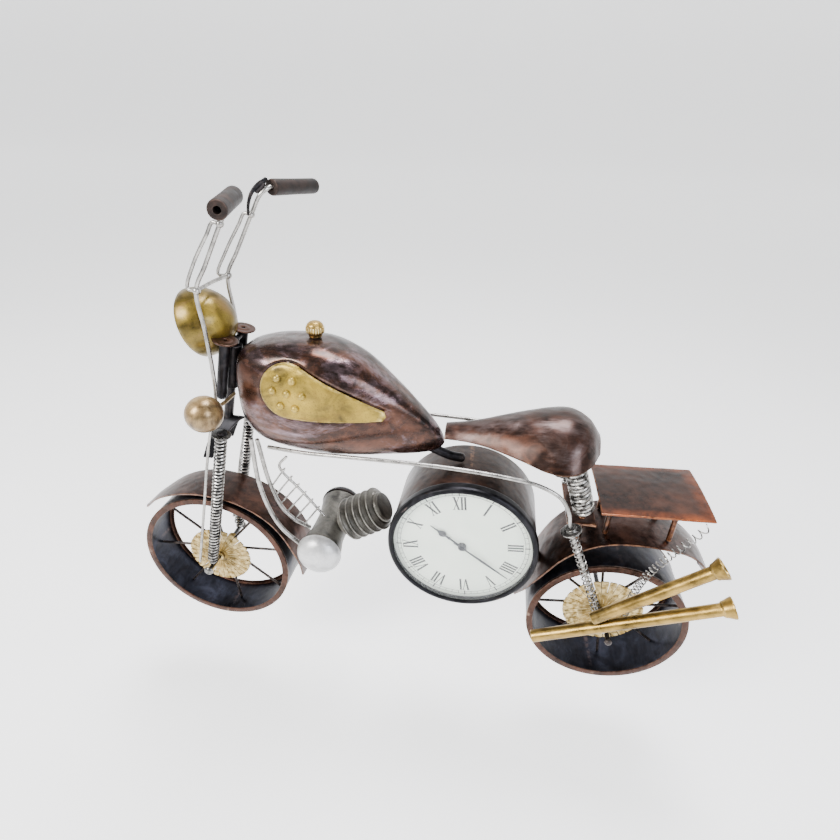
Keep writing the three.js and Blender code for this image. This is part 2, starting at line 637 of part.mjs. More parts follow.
piece('crankcase', cut(crankcase, along(disc(10.5, barrelStart - gap, 40, 24), barrelAxis, engineRoom)),
  greyPaint);
const dome = turned([
  [0, flareAt + gap], [domeRadius, flareAt + gap], [domeRadius, flareAt + 2.2],
  [domeRadius * 0.92, flareAt + 5], [domeRadius * 0.72, flareAt + 7.8],
  [domeRadius * 0.4, flareAt + 9.7], [0, flareAt + 10.4],
], 24).translate(engineAt.x, 0, engineAt.z);
piece('dome_right', dome, silver);
piece('dome_left', mirrorY(dome), silver);
const caseRoom = turned([
  [0, -flareAt], [domeRadius - 0.6 + gap, -flareAt - gap], [waist + gap, -9], [waist + gap, 9],
  [domeRadius - 0.6 + gap, flareAt], [0, flareAt],
], 24).translate(engineAt.x, 0, engineAt.z);
piece('down_tube_left', cut(downLeft, caseRoom), silver);

// ---------------------------------------------------------------- tank
const tankTop = profile([[0, 213], [0.05, 215.5], [0.12, 218.3], [0.2, 220.3], [0.32, 221.4],
  [0.42, 220.8], [0.52, 217.4], [0.62, 211.4], [0.74, 199.6], [0.85, 187.4], [0.93, 177.5], [1, 168]]);
const tankBottom = profile([[0, 170], [0.06, 163], [0.14, 157], [0.25, 154], [0.4, 152.3], [0.6, 152.3],
  [0.8, 154], [0.92, 156], [1, 158.5]]);
const tankWide = profile([[0, 0.5], [0.05, 0.74], [0.12, 0.87], [0.22, 0.96], [0.36, 1], [0.48, 0.96],
  [0.62, 0.79], [0.76, 0.57], [0.88, 0.36], [1, 0.14]]);
const tankBlunt = 26;            // higher is blunter at both ends
function tankAt(s, angle, grow) {
  const x = THREE.MathUtils.lerp(tankFront - grow, tankBack + grow, s);
  const zTop = tankTop(s) + grow;
  const zBottom = tankBottom(s) - grow;
  const end = Math.sqrt(Math.max(0, 1 - Math.abs(s * 2 - 1) ** tankBlunt));
  const wide = (tankWide(s) * tankHalfWidth + grow) * end;
  const c = Math.cos(angle);
  const n = Math.sin(angle);
  const power = (value, exponent) => Math.sign(value) * Math.abs(value) ** exponent;
  const mid = THREE.MathUtils.lerp(zBottom, zTop, 0.47);
  const high = (n > 0 ? zTop - mid : mid - zBottom) * end;
  return V(x, wide * power(c, 0.68), mid + high * power(n, n > 0 ? 0.6 : 0.8));
}
const tankBody = (grow, lengthSteps = 18, roundSteps = 16) =>
  body((s, angle) => tankAt(s, angle, grow), lengthSteps, roundSteps);
const tankOuter = tankBody(0);
const tankInner = tankBody(-tankWall);
const tankJoint = 160.5;         // the base plate closes the tank below this height
const backboneRoom = wire(backbonePath, backboneRadius + gap, 20, 8);
const underTank = box(tankFront - 20, tankBack + 20, -60, 60, 100, tankJoint + gap);
piece('tank_shell', cut(tankOuter, tankInner, underTank, backboneRoom), copper);
const railRoom = wire([
  V(-214, 20, 158), V(-190, 25.5, 160.5), V(-164, railY - 0.5, 163), V(-111, railY, 164),
], wireRadius + gap, 14);
const basePlate = overlapOf(tankOuter, box(tankFront - 20, tankBack + 20, -60, 60, 100, tankJoint));
const baseHollow = overlapOf(tankInner, box(tankFront - 20, tankBack + 20, -60, 60, 100,
  tankJoint + 5));
const downRoom = join(wire([V(-227, -15, 160), V(-225.5, -16, 127.5)], 1.4 + gap, 2),
  wire([V(-228, -6, 160), V(-228, -6, 153), V(-224.5, -4, 119)], 1.4 + gap, 4));
piece('tank_base', cut(basePlate, baseHollow, backboneRoom, railRoom, mirrorY(railRoom), downRoom),
  copper);

const capAt = V(-187.5, 0, 221.4 + gap);
piece('filler_cap', along(turned([
  [0, 0], [3.8, 0], [3.8, 1.4], [4.8, 2.6], [5.2, 4.8], [4.6, 7.2], [2.8, 8.6], [0, 9],
], 16), V(0, 0, 1), V(capAt.x, 0, capAt.z)), brass);

// Teardrop side panel with seven studs: a skin that follows the tank's side.
const dropHead = { x: -196.5, z: 198, r: 15.6 };
const dropTip = { x: -145.5, z: 184.5 };
const spanX = dropTip.x - dropHead.x;
const spanZ = dropTip.z - dropHead.z;
const tipAngle = Math.atan2(spanZ, spanX);
const swing = Math.acos(dropHead.r / Math.hypot(spanX, spanZ));
const drop = new THREE.Shape();
drop.absarc(dropHead.x, dropHead.z, dropHead.r, tipAngle + swing, tipAngle - swing, false);
drop.lineTo(dropTip.x, dropTip.z - 1.6);
drop.lineTo(dropTip.x + 1.6, dropTip.z);
drop.lineTo(dropTip.x, dropTip.z + 1.6);
const dropPrism = new THREE.ExtrudeGeometry(drop, { depth: 60, bevelEnabled: false, curveSegments: 12 })
  .rotateX(Math.PI / 2);
const panelSkin = overlapOf(dropPrism, tankBody(gap + panelThickness));
const studs = [];
for (const [row, count] of [[-8, 2], [0, 3], [8, 2]]) {
  for (let i = 0; i < count; i++) {
    const x = dropHead.x + (i - (count - 1) / 2) * 8 - (count === 2 ? 1 : 0);
    const z = dropHead.z - row;
    const reach = new THREE.Raycaster(V(x, -60, z), V(0, 1, 0));
    const target = new THREE.Mesh(tankBody(gap + panelThickness));
    target.material.side = THREE.DoubleSide;
    const hit = reach.intersectObject(target)[0].point;
    studs.push(new THREE.SphereGeometry(studRadius, 7, 4).translate(x, hit.y, z));
  }
}
const panel = cut(join(panelSkin, ...studs), tankBody(gap));
piece('tank_panel_left', panel, goldPaint);
piece('tank_panel_right', mirrorY(panel), goldPaint);

// ---------------------------------------------------------------- seat
const seatLength = { front: -112.5, back: -26 };
const seatHalf = profile([[0, 7.5], [0.15, 9], [0.3, 13.5], [0.5, 22], [0.68, 27.5], [0.82, 28],
  [0.93, 21], [1, 9]]);
const seatCrown = profile([[0, 174.5], [0.15, 177], [0.3, 180.5], [0.5, 185], [0.68, 189],
  [0.82, 190], [0.93, 185.5], [1, 178]]);
const seatEdge = profile([[0, 170], [0.15, 170.5], [0.3, 171], [0.5, 170.5], [0.68, 168],
  [0.82, 168], [0.93, 170], [1, 172]]);
function seatAt(u, v) {
  const side = v * 2 - 1;
  const x = THREE.MathUtils.lerp(seatLength.front, seatLength.back, u);
  const fall = Math.abs(side) ** 2.4;
  return V(x, side * seatHalf(u), THREE.MathUtils.lerp(seatCrown(u), seatEdge(u), fall) - sheetThickness);
}
const seatShell = sheet(seatAt, 20, 10, sheetThickness);
piece('seat_shell', cut(seatShell, tankBody(gap)), copper);

const seatSpringTop = 172;
const seatSpring = sleeve(V(-27.5, -seatSpringY, springFoot), V(-40.5, -seatSpringY, seatSpringTop),
  seatSpringRadius - 1, seatSpringRadius, 18);
pair('seat_spring', seatSpring, silver);

// ---------------------------------------------------------------- rack
const rackPlate = sheet((u, v) => {
  const x = THREE.MathUtils.lerp(rack.front, rack.back, u);
  const side = v * 2 - 1;
  const z = THREE.MathUtils.lerp(rack.low, rack.high, u) - 1.2 * side * side;
  return V(x, side * rack.half, z - rack.thick);
}, 8, 8, rack.thick);
const rackHeight = (x) => THREE.MathUtils.mapLinear(x, rack.front, rack.back, rack.low, rack.high);
const rackLegs = [-13, 23].flatMap((x) => [-12, 12].map((y) =>
  rod(V(x, y, overFender(x)), V(x, y, rackHeight(x) - 1), 1.6, 8)));
piece('rack', join(rackPlate, ...rackLegs), copper);

const stretch = wire([
  V(rack.back - 3.5, 24.5, rack.high - 5.2), V(31, 24.6, 135), V(21, 24, 118), V(12, 23.6, 99),
  V(8, 23.6, 80), V(7.5, 23.6, 60),
], stretchSpringRadius, 14);
piece('stretch_spring_right', stretch, silver);
piece('stretch_spring_left', mirrorY(stretch), silver);

// ---------------------------------------------------------------- exhausts
// Brass pipe, plain at the front and flared to a trumpet at the back.
function exhaust(from, to) {
  const length = from.distanceTo(to);
  return along(turned([
    [exhaustRadius - 0.8, 0], [exhaustRadius, 0], [exhaustRadius, length - 7],
    [exhaustRadius + 0.9, length - 5], [exhaustRadius + 2.6, length], [exhaustRadius + 1.8, length],
    [exhaustRadius + 0.1, length - 5], [exhaustRadius - 0.8, length - 7],
  ], 20, true), to.clone().sub(from), from);
}
piece('exhaust_lower', exhaust(V(-47, exhaustY, 50.5), V(57.5, exhaustY, 98)), brass);
piece('exhaust_upper', exhaust(V(-14.5, exhaustY, 73.5), V(44.5, exhaustY, 125.5)), brass);

// Origin midway along the length, on the ground.
const extent = new THREE.Box3().setFromObject(bike);
const centreX = (extent.min.x + extent.max.x) / 2;
const centreY = (extent.min.y + extent.max.y) / 2;
bike.position.set(-centreX, -centreY, 0);
bike.updateMatrixWorld(true);

export default bike;
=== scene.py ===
import math

import bmesh
import bpy
import numpy as np
from bpy.props import FloatProperty, FloatVectorProperty, IntProperty, PointerProperty
from mathutils import Matrix, Vector, noise


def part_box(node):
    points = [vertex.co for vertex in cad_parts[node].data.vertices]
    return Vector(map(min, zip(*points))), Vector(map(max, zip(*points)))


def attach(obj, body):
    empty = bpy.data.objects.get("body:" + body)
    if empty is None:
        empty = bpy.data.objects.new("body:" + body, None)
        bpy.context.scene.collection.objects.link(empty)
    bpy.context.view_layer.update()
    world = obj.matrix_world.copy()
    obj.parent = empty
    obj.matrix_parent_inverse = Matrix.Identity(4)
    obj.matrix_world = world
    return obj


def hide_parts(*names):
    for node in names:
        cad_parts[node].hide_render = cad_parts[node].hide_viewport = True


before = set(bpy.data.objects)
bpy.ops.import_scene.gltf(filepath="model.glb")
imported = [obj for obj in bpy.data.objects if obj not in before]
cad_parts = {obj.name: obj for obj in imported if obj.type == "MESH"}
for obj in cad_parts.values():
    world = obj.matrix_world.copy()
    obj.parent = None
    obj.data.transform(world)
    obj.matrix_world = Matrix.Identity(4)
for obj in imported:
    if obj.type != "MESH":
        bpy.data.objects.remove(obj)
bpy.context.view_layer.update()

bl_info = {
    "name": "Tin motorcycle desk clock",
    "version": (1, 0, 0),
    "blender": (4, 5, 0),
    "location": "3D View > Sidebar > Tin bike",
    "description": "Builds a sheet-metal and wire motorcycle that carries a desk clock",
    "category": "Add Mesh",
}

# Shapes are drawn in millimetres from the foot of the rear wheel: the front wheel is towards -X
# and the dial faces -Y. MM and HOME take them to the frame's metres. Left is the dial side, -Y.
MM = 0.001
HOME = (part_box("rear_hub")[0].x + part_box("rear_hub")[1].x) / 2
WHEELBASE = (HOME - (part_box("front_hub")[0].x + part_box("front_hub")[1].x) / 2) / MM
REAR_AXLE = np.array([0.0, 0.0, (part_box("rear_hub")[0].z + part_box("rear_hub")[1].z) / 2 / MM])
FRONT_AXLE = np.array([-WHEELBASE, 0.0, (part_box("front_hub")[0].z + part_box("front_hub")[1].z) / 2 / MM])
GAP = 0.3                # room between neighbouring pieces
X_AXIS, Y_AXIS, Z_AXIS = np.eye(3)
CREASE = 35              # degrees past which an edge of a mesh stays sharp
MERGE = 1e-7             # metres within which two vertices are one


def vec(x, y, z):
    """Point or direction as an array."""
    return np.array([x, y, z], float)


def unit(v):
    """Direction of length one."""
    return np.asarray(v, float) / np.linalg.norm(v)


FLIP = vec(1, -1, 1)     # to the other side of the bike
DRAWN_LEFT = (("left", vec(1, 1, 1)), ("right", FLIP))
DRAWN_RIGHT = (("right", vec(1, 1, 1)), ("left", FLIP))


# ------------------------------------------------------------------ shapes in plain numbers
CURVE_STEPS = 24         # steps between two given points before a curve is spaced out evenly
CORNER_STEPS = 3         # steps round a softened corner
ROUND_ENDS = ((0.5, 0.3), (0.34, 0.62), (0.16, 0.88))   # reach and size of the rings at a bar's end


def curve(points, count):
    """Points evenly spaced along a smooth centripetal curve through the given ones."""
    p = np.array(points, float)
    p = np.vstack([2 * p[0] - p[1], p, 2 * p[-1] - p[-2]])
    dense = []
    for i in range(1, len(p) - 2):
        knots = np.cumsum([0] + [max(np.linalg.norm(p[i + k] - p[i + k - 1]) ** 0.5, 1e-6)
                                 for k in range(3)])
        t0, t1, t2, t3 = knots
        for t in np.linspace(t1, t2, CURVE_STEPS, endpoint=False):
            a1 = (t1 - t) / (t1 - t0) * p[i - 1] + (t - t0) / (t1 - t0) * p[i]
            a2 = (t2 - t) / (t2 - t1) * p[i] + (t - t1) / (t2 - t1) * p[i + 1]
            a3 = (t3 - t) / (t3 - t2) * p[i + 1] + (t - t2) / (t3 - t2) * p[i + 2]
            b1 = (t2 - t) / (t2 - t0) * a1 + (t - t0) / (t2 - t0) * a2
            b2 = (t3 - t) / (t3 - t1) * a2 + (t - t1) / (t3 - t1) * a3
            dense.append((t2 - t) / (t2 - t1) * b1 + (t - t1) / (t2 - t1) * b2)
    dense = np.array(dense + [p[-2]])
    run = np.concatenate([[0], np.cumsum(np.linalg.norm(np.diff(dense, axis=0), axis=1))])
    at = np.linspace(0, run[-1], count)
    return np.stack([np.interp(at, run, dense[:, k]) for k in range(3)], 1)


def profile(pairs):
    """Smooth value through (position, value) pairs, as a function of position from 0 to 1."""
    x = np.array([a for a, _ in pairs], float)
    y = np.array([b for _, b in pairs], float)
    last = len(x) - 1
    slope = np.array([(y[min(i + 1, last)] - y[max(i - 1, 0)]) / (x[min(i + 1, last)] - x[max(i - 1, 0)])
                      for i in range(last + 1)])

    def value(s):
        s = min(max(s, 0.0), 1.0)
        i = min(int(np.searchsorted(x, s, side="right")) - 1, last - 1)
        width = x[i + 1] - x[i]
        t = (s - x[i]) / width
        return ((2 * t ** 3 - 3 * t ** 2 + 1) * y[i] + (t ** 3 - 2 * t ** 2 + t) * width * slope[i]
                + (3 * t ** 2 - 2 * t ** 3) * y[i + 1] + (t ** 3 - t ** 2) * width * slope[i + 1])
    return value


def soften(pairs, size, loop=False):
    """Outline with each corner rounded, by up to size along its sides; a loop is closed."""
    p = np.array(pairs, float)
    n = len(p)
    out = []
    for i in range(n):
        if not loop and i in (0, n - 1):
            out.append(p[i])
            continue
        before, after = p[i - 1] - p[i], p[(i + 1) % n] - p[i]
        lb, la = np.linalg.norm(before), np.linalg.norm(after)
        if lb < 1e-6 or la < 1e-6 or np.dot(before, after) / (lb * la) < -0.97:
            out.append(p[i])
            continue
        a = p[i] + before / lb * min(size, lb * 0.45)
        b = p[i] + after / la * min(size, la * 0.45)
        for t in np.linspace(0, 1, CORNER_STEPS + 1):
            out.append((1 - t) ** 2 * a + 2 * t * (1 - t) * p[i] + t * t * b)
    return [tuple(q) for q in out]


def turned(pairs, sides=64, loop=False):
    """Solid of revolution about Y from (radius, height) pairs; a loop of pairs makes a ring."""
    verts, rows, faces = [], [], []
    for r, y in pairs:
        if r < 1e-5 and not loop:
            rows.append([len(verts)])
            verts.append((0, y, 0))
            continue
        rows.append(list(range(len(verts), len(verts) + sides)))
        for k in range(sides):
            a = 2 * math.pi * k / sides
            verts.append((r * math.cos(a), y, r * math.sin(a)))
    for lower, upper in zip(rows, rows[1:] + (rows[:1] if loop else [])):
        for k in range(sides):
            m = (k + 1) % sides
            if len(lower) == 1 and len(upper) > 1:
                faces.append((lower[0], upper[k], upper[m]))
            elif len(upper) == 1 and len(lower) > 1:
                faces.append((lower[k], lower[m], upper[0]))
            elif len(lower) > 1:
                faces.append((lower[k], lower[m], upper[m], upper[k]))
    return np.array(verts, float), faces


def aim(shape, axis, origin):
    """Turns a shape made about Y so that Y runs along axis, then moves it to origin."""
    turn = np.array(Vector((0, 1, 0)).rotation_difference(Vector(axis)).to_matrix())
    return shape[0] @ turn.T + np.asarray(origin, float), shape[1]


def shifted(shape, offset):
    """Shape moved by an offset."""
    return shape[0] + np.asarray(offset, float), shape[1]


def mirrored(shape):
    """Shape on the other side of the bike, its faces still outwards."""
    return shape[0] * np.array([1, -1, 1]), [tuple(reversed(f)) for f in shape[1]]


def merged(*shapes):
    """One shape of several."""
    verts, faces, base = [], [], 0
    for v, f in shapes:
        verts.append(v)
        faces += [tuple(i + base for i in face) for face in f]
        base += len(v)
    return np.vstack(verts), faces


def swept(points, radius, sides=12, spacing=1.4, taper=None):
    """Round bar with rounded ends along a smooth curve; taper scales its radius along the way."""
    points = np.array(points, float)
    length = np.linalg.norm(np.diff(points, axis=0), axis=1).sum()
    path = curve(points, max(4, int(length / spacing)))
    tangent = np.gradient(path, axis=0)
    tangent /= np.linalg.norm(tangent, axis=1)[:, None]
    side = np.cross(tangent[0], vec(0, 0, 1) if abs(tangent[0][2]) < 0.9 else vec(1, 0, 0))
    last = len(path) - 1
    rings = []
    for i in range(last + 1):
        side = unit(side - tangent[i] * np.dot(side, tangent[i]))
        size = radius * (taper(i / last) if taper else 1)
        rings.append((path[i], side, np.cross(tangent[i], side), size))

    def end_ring(ring, way, reach, share):
        centre, u, w, r = ring
        return centre + way * r * reach, u, w, r * share
    full = [end_ring(rings[0], -tangent[0], *end) for end in ROUND_ENDS]
    full += rings
    full += [end_ring(rings[-1], tangent[-1], *end) for end in reversed(ROUND_ENDS)]
    verts, faces = [], []
    for centre, u, w, r in full:
        for k in range(sides):
            a = 2 * math.pi * k / sides
            verts.append(centre + r * (math.cos(a) * u + math.sin(a) * w))
    for i in range(len(full) - 1):
        for k in range(sides):
            m = (k + 1) % sides
            faces.append((i * sides + k, i * sides + m, (i + 1) * sides + m, (i + 1) * sides + k))
    faces.append(tuple(reversed(range(sides))))
    top = (len(full) - 1) * sides
    faces.append(tuple(range(top, top + sides)))
    return np.array(verts, float), faces


def sheet(at, nu, nv, thickness, dent=None):
    """Sheet of even thickness over the surface at(u, v), lifted by dent(point) where it is beaten."""
    us, vs = np.linspace(0, 1, nu + 1), np.linspace(0, 1, nv + 1)
    grid = np.array([[at(u, v) for v in vs] for u in us], float)
    normal = np.cross(np.gradient(grid, axis=0), np.gradient(grid, axis=1))
    normal /= np.linalg.norm(normal, axis=2)[:, :, None]
    if dent:
        lift = np.array([[dent(grid[i, j]) for j in range(nv + 1)] for i in range(nu + 1)])
        grid = grid + normal * lift[:, :, None]
    low, high = grid.reshape(-1, 3), (grid + normal * thickness).reshape(-1, 3)
    count = (nu + 1) * (nv + 1)
    faces = []

    def spot(i, j, top=0):
        return i * (nv + 1) + j + top * count
    for i in range(nu):
        for j in range(nv):
            faces.append((spot(i, j), spot(i, j + 1), spot(i + 1, j + 1), spot(i + 1, j)))
            faces.append((spot(i, j, 1), spot(i + 1, j, 1), spot(i + 1, j + 1, 1), spot(i, j + 1, 1)))
    for i in range(nu):
        faces.append((spot(i, 0), spot(i + 1, 0), spot(i + 1, 0, 1), spot(i, 0, 1)))
        faces.append((spot(i + 1, nv), spot(i, nv), spot(i, nv, 1), spot(i + 1, nv, 1)))
    for j in range(nv):
        faces.append((spot(0, j + 1), spot(0, j), spot(0, j, 1), spot(0, j + 1, 1)))
        faces.append((spot(nu, j), spot(nu, j + 1), spot(nu, j + 1, 1), spot(nu, j, 1)))
    return np.vstack([low, high]), faces


def ball(radius, centre, rings=24, sides=40):
    """Sphere with closed poles."""
    pairs = [(radius * math.sin(math.pi * i / rings), -radius * math.cos(math.pi * i / rings))
             for i in range(rings + 1)]
    pairs[0], pairs[-1] = (0, -radius), (0, radius)
    return shifted(turned(pairs, sides), centre)


def plate(outline, thickness):
    """Flat plate from an outline of (x, z) pairs, its front at y = 0 and its back at y = thickness."""
    n = len(outline)
    verts = [(x, 0, z) for x, z in outline] + [(x, thickness, z) for x, z in outline]
    faces = [tuple(range(n)), tuple(reversed(range(n, 2 * n)))]
    faces += [(i, (i + 1) % n, (i + 1) % n + n, i + n) for i in range(n)]
    return np.array(verts, float), faces


def dents(size, depth, seed=0.0):
    """Shallow hammer marks, as a height for a point in millimetres."""
    def height(p):
        q = Vector((p[0] / size + seed, p[1] / size, p[2] / size))
        near = noise.voronoi(q)[0][0]
        return depth * (min(near, 0.6) - 0.3) + depth * 0.8 * noise.noise(q * 0.45)
    return height


# ------------------------------------------------------------------ meshes and pieces
def to_mesh(name, shape):
    """Blender mesh in the frame's metres, doubles merged and faces turned outwards."""
    verts = shape[0] * MM + np.array([HOME, 0, 0])
    mesh = bpy.data.meshes.new(name)
    mesh.from_pydata(verts.tolist(), [], shape[1])
    work = bmesh.new()
    work.from_mesh(mesh)
    bmesh.ops.remove_doubles(work, verts=work.verts, dist=MERGE)
    bmesh.ops.recalc_face_normals(work, faces=work.faces)
    work.to_mesh(mesh)
    work.free()
    smooth(mesh, CREASE)
    return mesh


def smooth(mesh, crease):
    """Smooth shading, with edges past the crease angle kept sharp."""
    mesh.shade_smooth()
    mesh.set_sharp_from_angle(angle=math.radians(crease))


def new_object(name, mesh):
    """Object for a mesh, in the scene."""
    obj = bpy.data.objects.new(name, mesh)
    bpy.context.scene.collection.objects.link(obj)
    return obj


def baked(obj):
    """Plain mesh of an object with its modifiers applied; the object itself is removed."""
    bpy.context.view_layer.update()
    mesh = bpy.data.meshes.new_from_object(obj.evaluated_get(bpy.context.evaluated_depsgraph_get()))
    bpy.data.objects.remove(obj)
    return mesh


def bevelled(name, shape, width, crease=40, segments=2):
    """Mesh of a shape with its sharp edges rounded by a Bevel modifier."""
    obj = new_object(name + "_blank", to_mesh(name, shape))
    cut = obj.modifiers.new("Edge", "BEVEL")
    cut.width = width * MM
    cut.segments = segments
    cut.limit_method = "ANGLE"
    cut.angle_limit = math.radians(crease)
    mesh = baked(obj)
    smooth(mesh, crease)
    return mesh


def add(name, body, look, mesh, replaces=()):
    """Adds a finished piece: mesh or shape, riding on a body, with its finish; hides the parts it replaces.
    """
    if isinstance(mesh, tuple):
        mesh = to_mesh(name, mesh)
    mesh.name = name
    mesh.materials.clear()
    mesh.materials.append(look)
    obj = new_object(name, mesh)
    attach(obj, body)
    if replaces:
        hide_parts(*replaces)
    return obj


def joined(*meshes):
    """One mesh of several plain meshes."""
    work = bmesh.new()
    for mesh in meshes:
        work.from_mesh(mesh)
    out = bpy.data.meshes.new("joined")
    work.to_mesh(out)
    work.free()
    smooth(out, CREASE)
    return out


# ------------------------------------------------------------------ geometry node trees
class Tree:
    """Geometry node tree under construction, with named inputs."""

    def __init__(self, name, inputs):
        self.group = bpy.data.node_groups.new(name, "GeometryNodeTree")
        face = self.group.interface
        face.new_socket("Geometry", in_out="INPUT", socket_type="NodeSocketGeometry")
        for label, kind, value in inputs:
            socket = face.new_socket(label, in_out="INPUT", socket_type="NodeSocket" + kind)
            if value is not None:
                socket.default_value = value
        face.new_socket("Geometry", in_out="OUTPUT", socket_type="NodeSocketGeometry")
        self.inputs = self.add("NodeGroupInput").outputs
        self.output = self.add("NodeGroupOutput")

    def add(self, kind, **settings):
        """New node with its settings."""
        node = self.group.nodes.new(kind)
        for key, value in settings.items():
            setattr(node, key, value)
        return node

    def link(self, source, target):
        self.group.links.new(source, target)

    def math(self, operation, a, b=None):
        """Result of a sum with one or two numbers."""
        node = self.add("ShaderNodeMath", operation=operation)
        for socket, value in zip(node.inputs, (a, b)):
            self.feed(socket, value)
        return node.outputs[0]

    def vector(self, operation, a, b=None, scale=None):
        """Result of a sum with vectors."""
        node = self.add("ShaderNodeVectorMath", operation=operation)
        self.feed(node.inputs[0], a)
        self.feed(node.inputs[1], b)
        if scale is not None:
            self.feed(node.inputs["Scale"], scale)
        return node.outputs[0]

    def feed(self, socket, value):
        """Links a socket or sets its value; None leaves it alone."""
        if value is None:
            return
        if isinstance(value, bpy.types.NodeSocket):
            self.link(value, socket)
        else:
            socket.default_value = value

    def finish(self, geometry):
        """Ends the tree in Realize Instances and Set Material."""
        real = self.add("GeometryNodeRealizeInstances")
        paint = self.add("GeometryNodeSetMaterial")
        self.link(geometry, real.inputs[0])
        self.link(real.outputs[0], paint.inputs["Geometry"])
        self.link(self.inputs["Material"], paint.inputs["Material"])
        self.link(paint.outputs[0], self.output.inputs[0])
        return self.group


def ring_tree():
    """Copies of the mesh turned round an axis through a centre."""
    t = Tree("Ring of pieces", [("Count", "Int", 8), ("Centre", "Vector", None), ("Axis", "Vector", None),
                                ("Material", "Material", None)])
    points = t.add("GeometryNodePoints")
    t.feed(points.inputs["Count"], t.inputs["Count"])
    t.feed(points.inputs["Position"], t.inputs["Centre"])
    step = t.math("DIVIDE", 2 * math.pi, t.inputs["Count"])
    turn = t.add("FunctionNodeAxisAngleToRotation")
    t.feed(turn.inputs["Axis"], t.inputs["Axis"])
    t.feed(turn.inputs["Angle"], t.math("MULTIPLY", t.add("GeometryNodeInputIndex").outputs[0], step))
    back = t.add("GeometryNodeTransform")
    t.link(t.inputs["Geometry"], back.inputs["Geometry"])
    t.feed(back.inputs["Translation"], t.vector("SCALE", t.inputs["Centre"], scale=-1.0))
    copies = t.add("GeometryNodeInstanceOnPoints")
    t.link(points.outputs[0], copies.inputs["Points"])
    t.link(back.outputs[0], copies.inputs["Instance"])
    t.link(turn.outputs[0], copies.inputs["Rotation"])
    return t.finish(copies.outputs[0])


def row_tree():
    """Copies of the mesh a fixed step apart."""
    t = Tree("Row of pieces", [("Count", "Int", 5), ("Step", "Vector", None), ("Material", "Material", None)])
    points = t.add("GeometryNodePoints")
    t.feed(points.inputs["Count"], t.inputs["Count"])
    t.feed(points.inputs["Position"],
           t.vector("SCALE", t.inputs["Step"], scale=t.add("GeometryNodeInputIndex").outputs[0]))
    copies = t.add("GeometryNodeInstanceOnPoints")
    t.link(points.outputs[0], copies.inputs["Points"])
    t.link(t.inputs["Geometry"], copies.inputs["Instance"])
    return t.finish(copies.outputs[0])


def stud_tree():
    """Round-headed stud on each vertex of the mesh."""
    t = Tree("Studs", [("Radius", "Float", 0.002), ("Squash", "Vector", None),
                       ("Material", "Material", None)])
    head = t.add("GeometryNodeMeshUVSphere")
    head.inputs["Segments"].default_value = 28
    head.inputs["Rings"].default_value = 16
    t.feed(head.inputs["Radius"], t.inputs["Radius"])
    rounded = t.add("GeometryNodeSetShadeSmooth")
    t.link(head.outputs[0], rounded.inputs["Geometry"])
    copies = t.add("GeometryNodeInstanceOnPoints")
    t.link(t.inputs["Geometry"], copies.inputs["Points"])
    t.link(rounded.outputs[0], copies.inputs["Instance"])
    t.feed(copies.inputs["Scale"], t.inputs["Squash"])
    return t.finish(copies.outputs[0])


def coil_tree():
    """Wire wound round the mesh's line of edges; crowding winds it closer towards the far end."""
    t = Tree("Coil spring", [("Turns", "Float", 20.0), ("Detail", "Int", 16), ("Coil radius", "Float", 0.003),
                             ("Wire radius", "Float", 0.0005), ("Crowding", "Float", 1.0),
                             ("Material", "Material", None)])
    line = t.add("GeometryNodeMeshToCurve")
    t.link(t.inputs["Geometry"], line.inputs["Mesh"])
    even = t.add("GeometryNodeResampleCurve")
    t.link(line.outputs[0], even.inputs["Curve"])
    t.feed(even.inputs["Count"], t.math("ROUND", t.math("MULTIPLY", t.inputs["Turns"], t.inputs["Detail"])))
    part = t.add("GeometryNodeSplineParameter").outputs["Factor"]
    wound = t.math("POWER", part, t.inputs["Crowding"])
    angle = t.math("MULTIPLY", t.math("MULTIPLY", wound, t.inputs["Turns"]), 2 * math.pi)
    normal = t.add("GeometryNodeInputNormal").outputs[0]
    across = t.vector("CROSS_PRODUCT", t.add("GeometryNodeInputTangent").outputs[0], normal)
    offset = t.vector("ADD", t.vector("SCALE", normal, scale=t.math("COSINE", angle)),
                      t.vector("SCALE", across, scale=t.math("SINE", angle)))
    moved = t.add("GeometryNodeSetPosition")
    t.link(even.outputs[0], moved.inputs["Geometry"])
    t.feed(moved.inputs["Offset"], t.vector("SCALE", offset, scale=t.inputs["Coil radius"]))
    section = t.add("GeometryNodeCurvePrimitiveCircle")
    section.inputs["Resolution"].default_value = 7
    t.feed(section.inputs["Radius"], t.inputs["Wire radius"])
    body = t.add("GeometryNodeCurveToMesh")
    t.link(moved.outputs[0], body.inputs["Curve"])
    t.link(section.outputs[0], body.inputs["Profile Curve"])
    body.inputs["Fill Caps"].default_value = True
    return t.finish(body.outputs[0])


TREES = {}
GROWN_CREASE = 40        # degrees
COIL_PATH = 60           # points on the middle line of a curved spring


def grown(name, mesh, tree, **inputs):
    """Plain mesh that a geometry node tree makes from a starting mesh."""
    if tree not in TREES:
        TREES[tree] = tree()
    group = TREES[tree]
    obj = new_object(name + "_seed", mesh)
    step = obj.modifiers.new("Nodes", "NODES")
    step.node_group = group
    for item in group.interface.items_tree:
        key = item.name.replace(" ", "_").lower()
        if item.in_out == "INPUT" and key in inputs:
            step[item.identifier] = inputs[key]
    out = baked(obj)
    out.materials.clear()
    out.materials.append(inputs["material"])
    smooth(out, GROWN_CREASE)
    return out


def spot(point):
    """Frame position of a point given in millimetres."""
    return (HOME + point[0] * MM, point[1] * MM, point[2] * MM)


def line_mesh(name, points):
    """Mesh of edges through points given in millimetres."""
    mesh = bpy.data.meshes.new(name)
    mesh.from_pydata([spot(p) for p in points], [(i, i + 1) for i in range(len(points) - 1)], [])
    return mesh


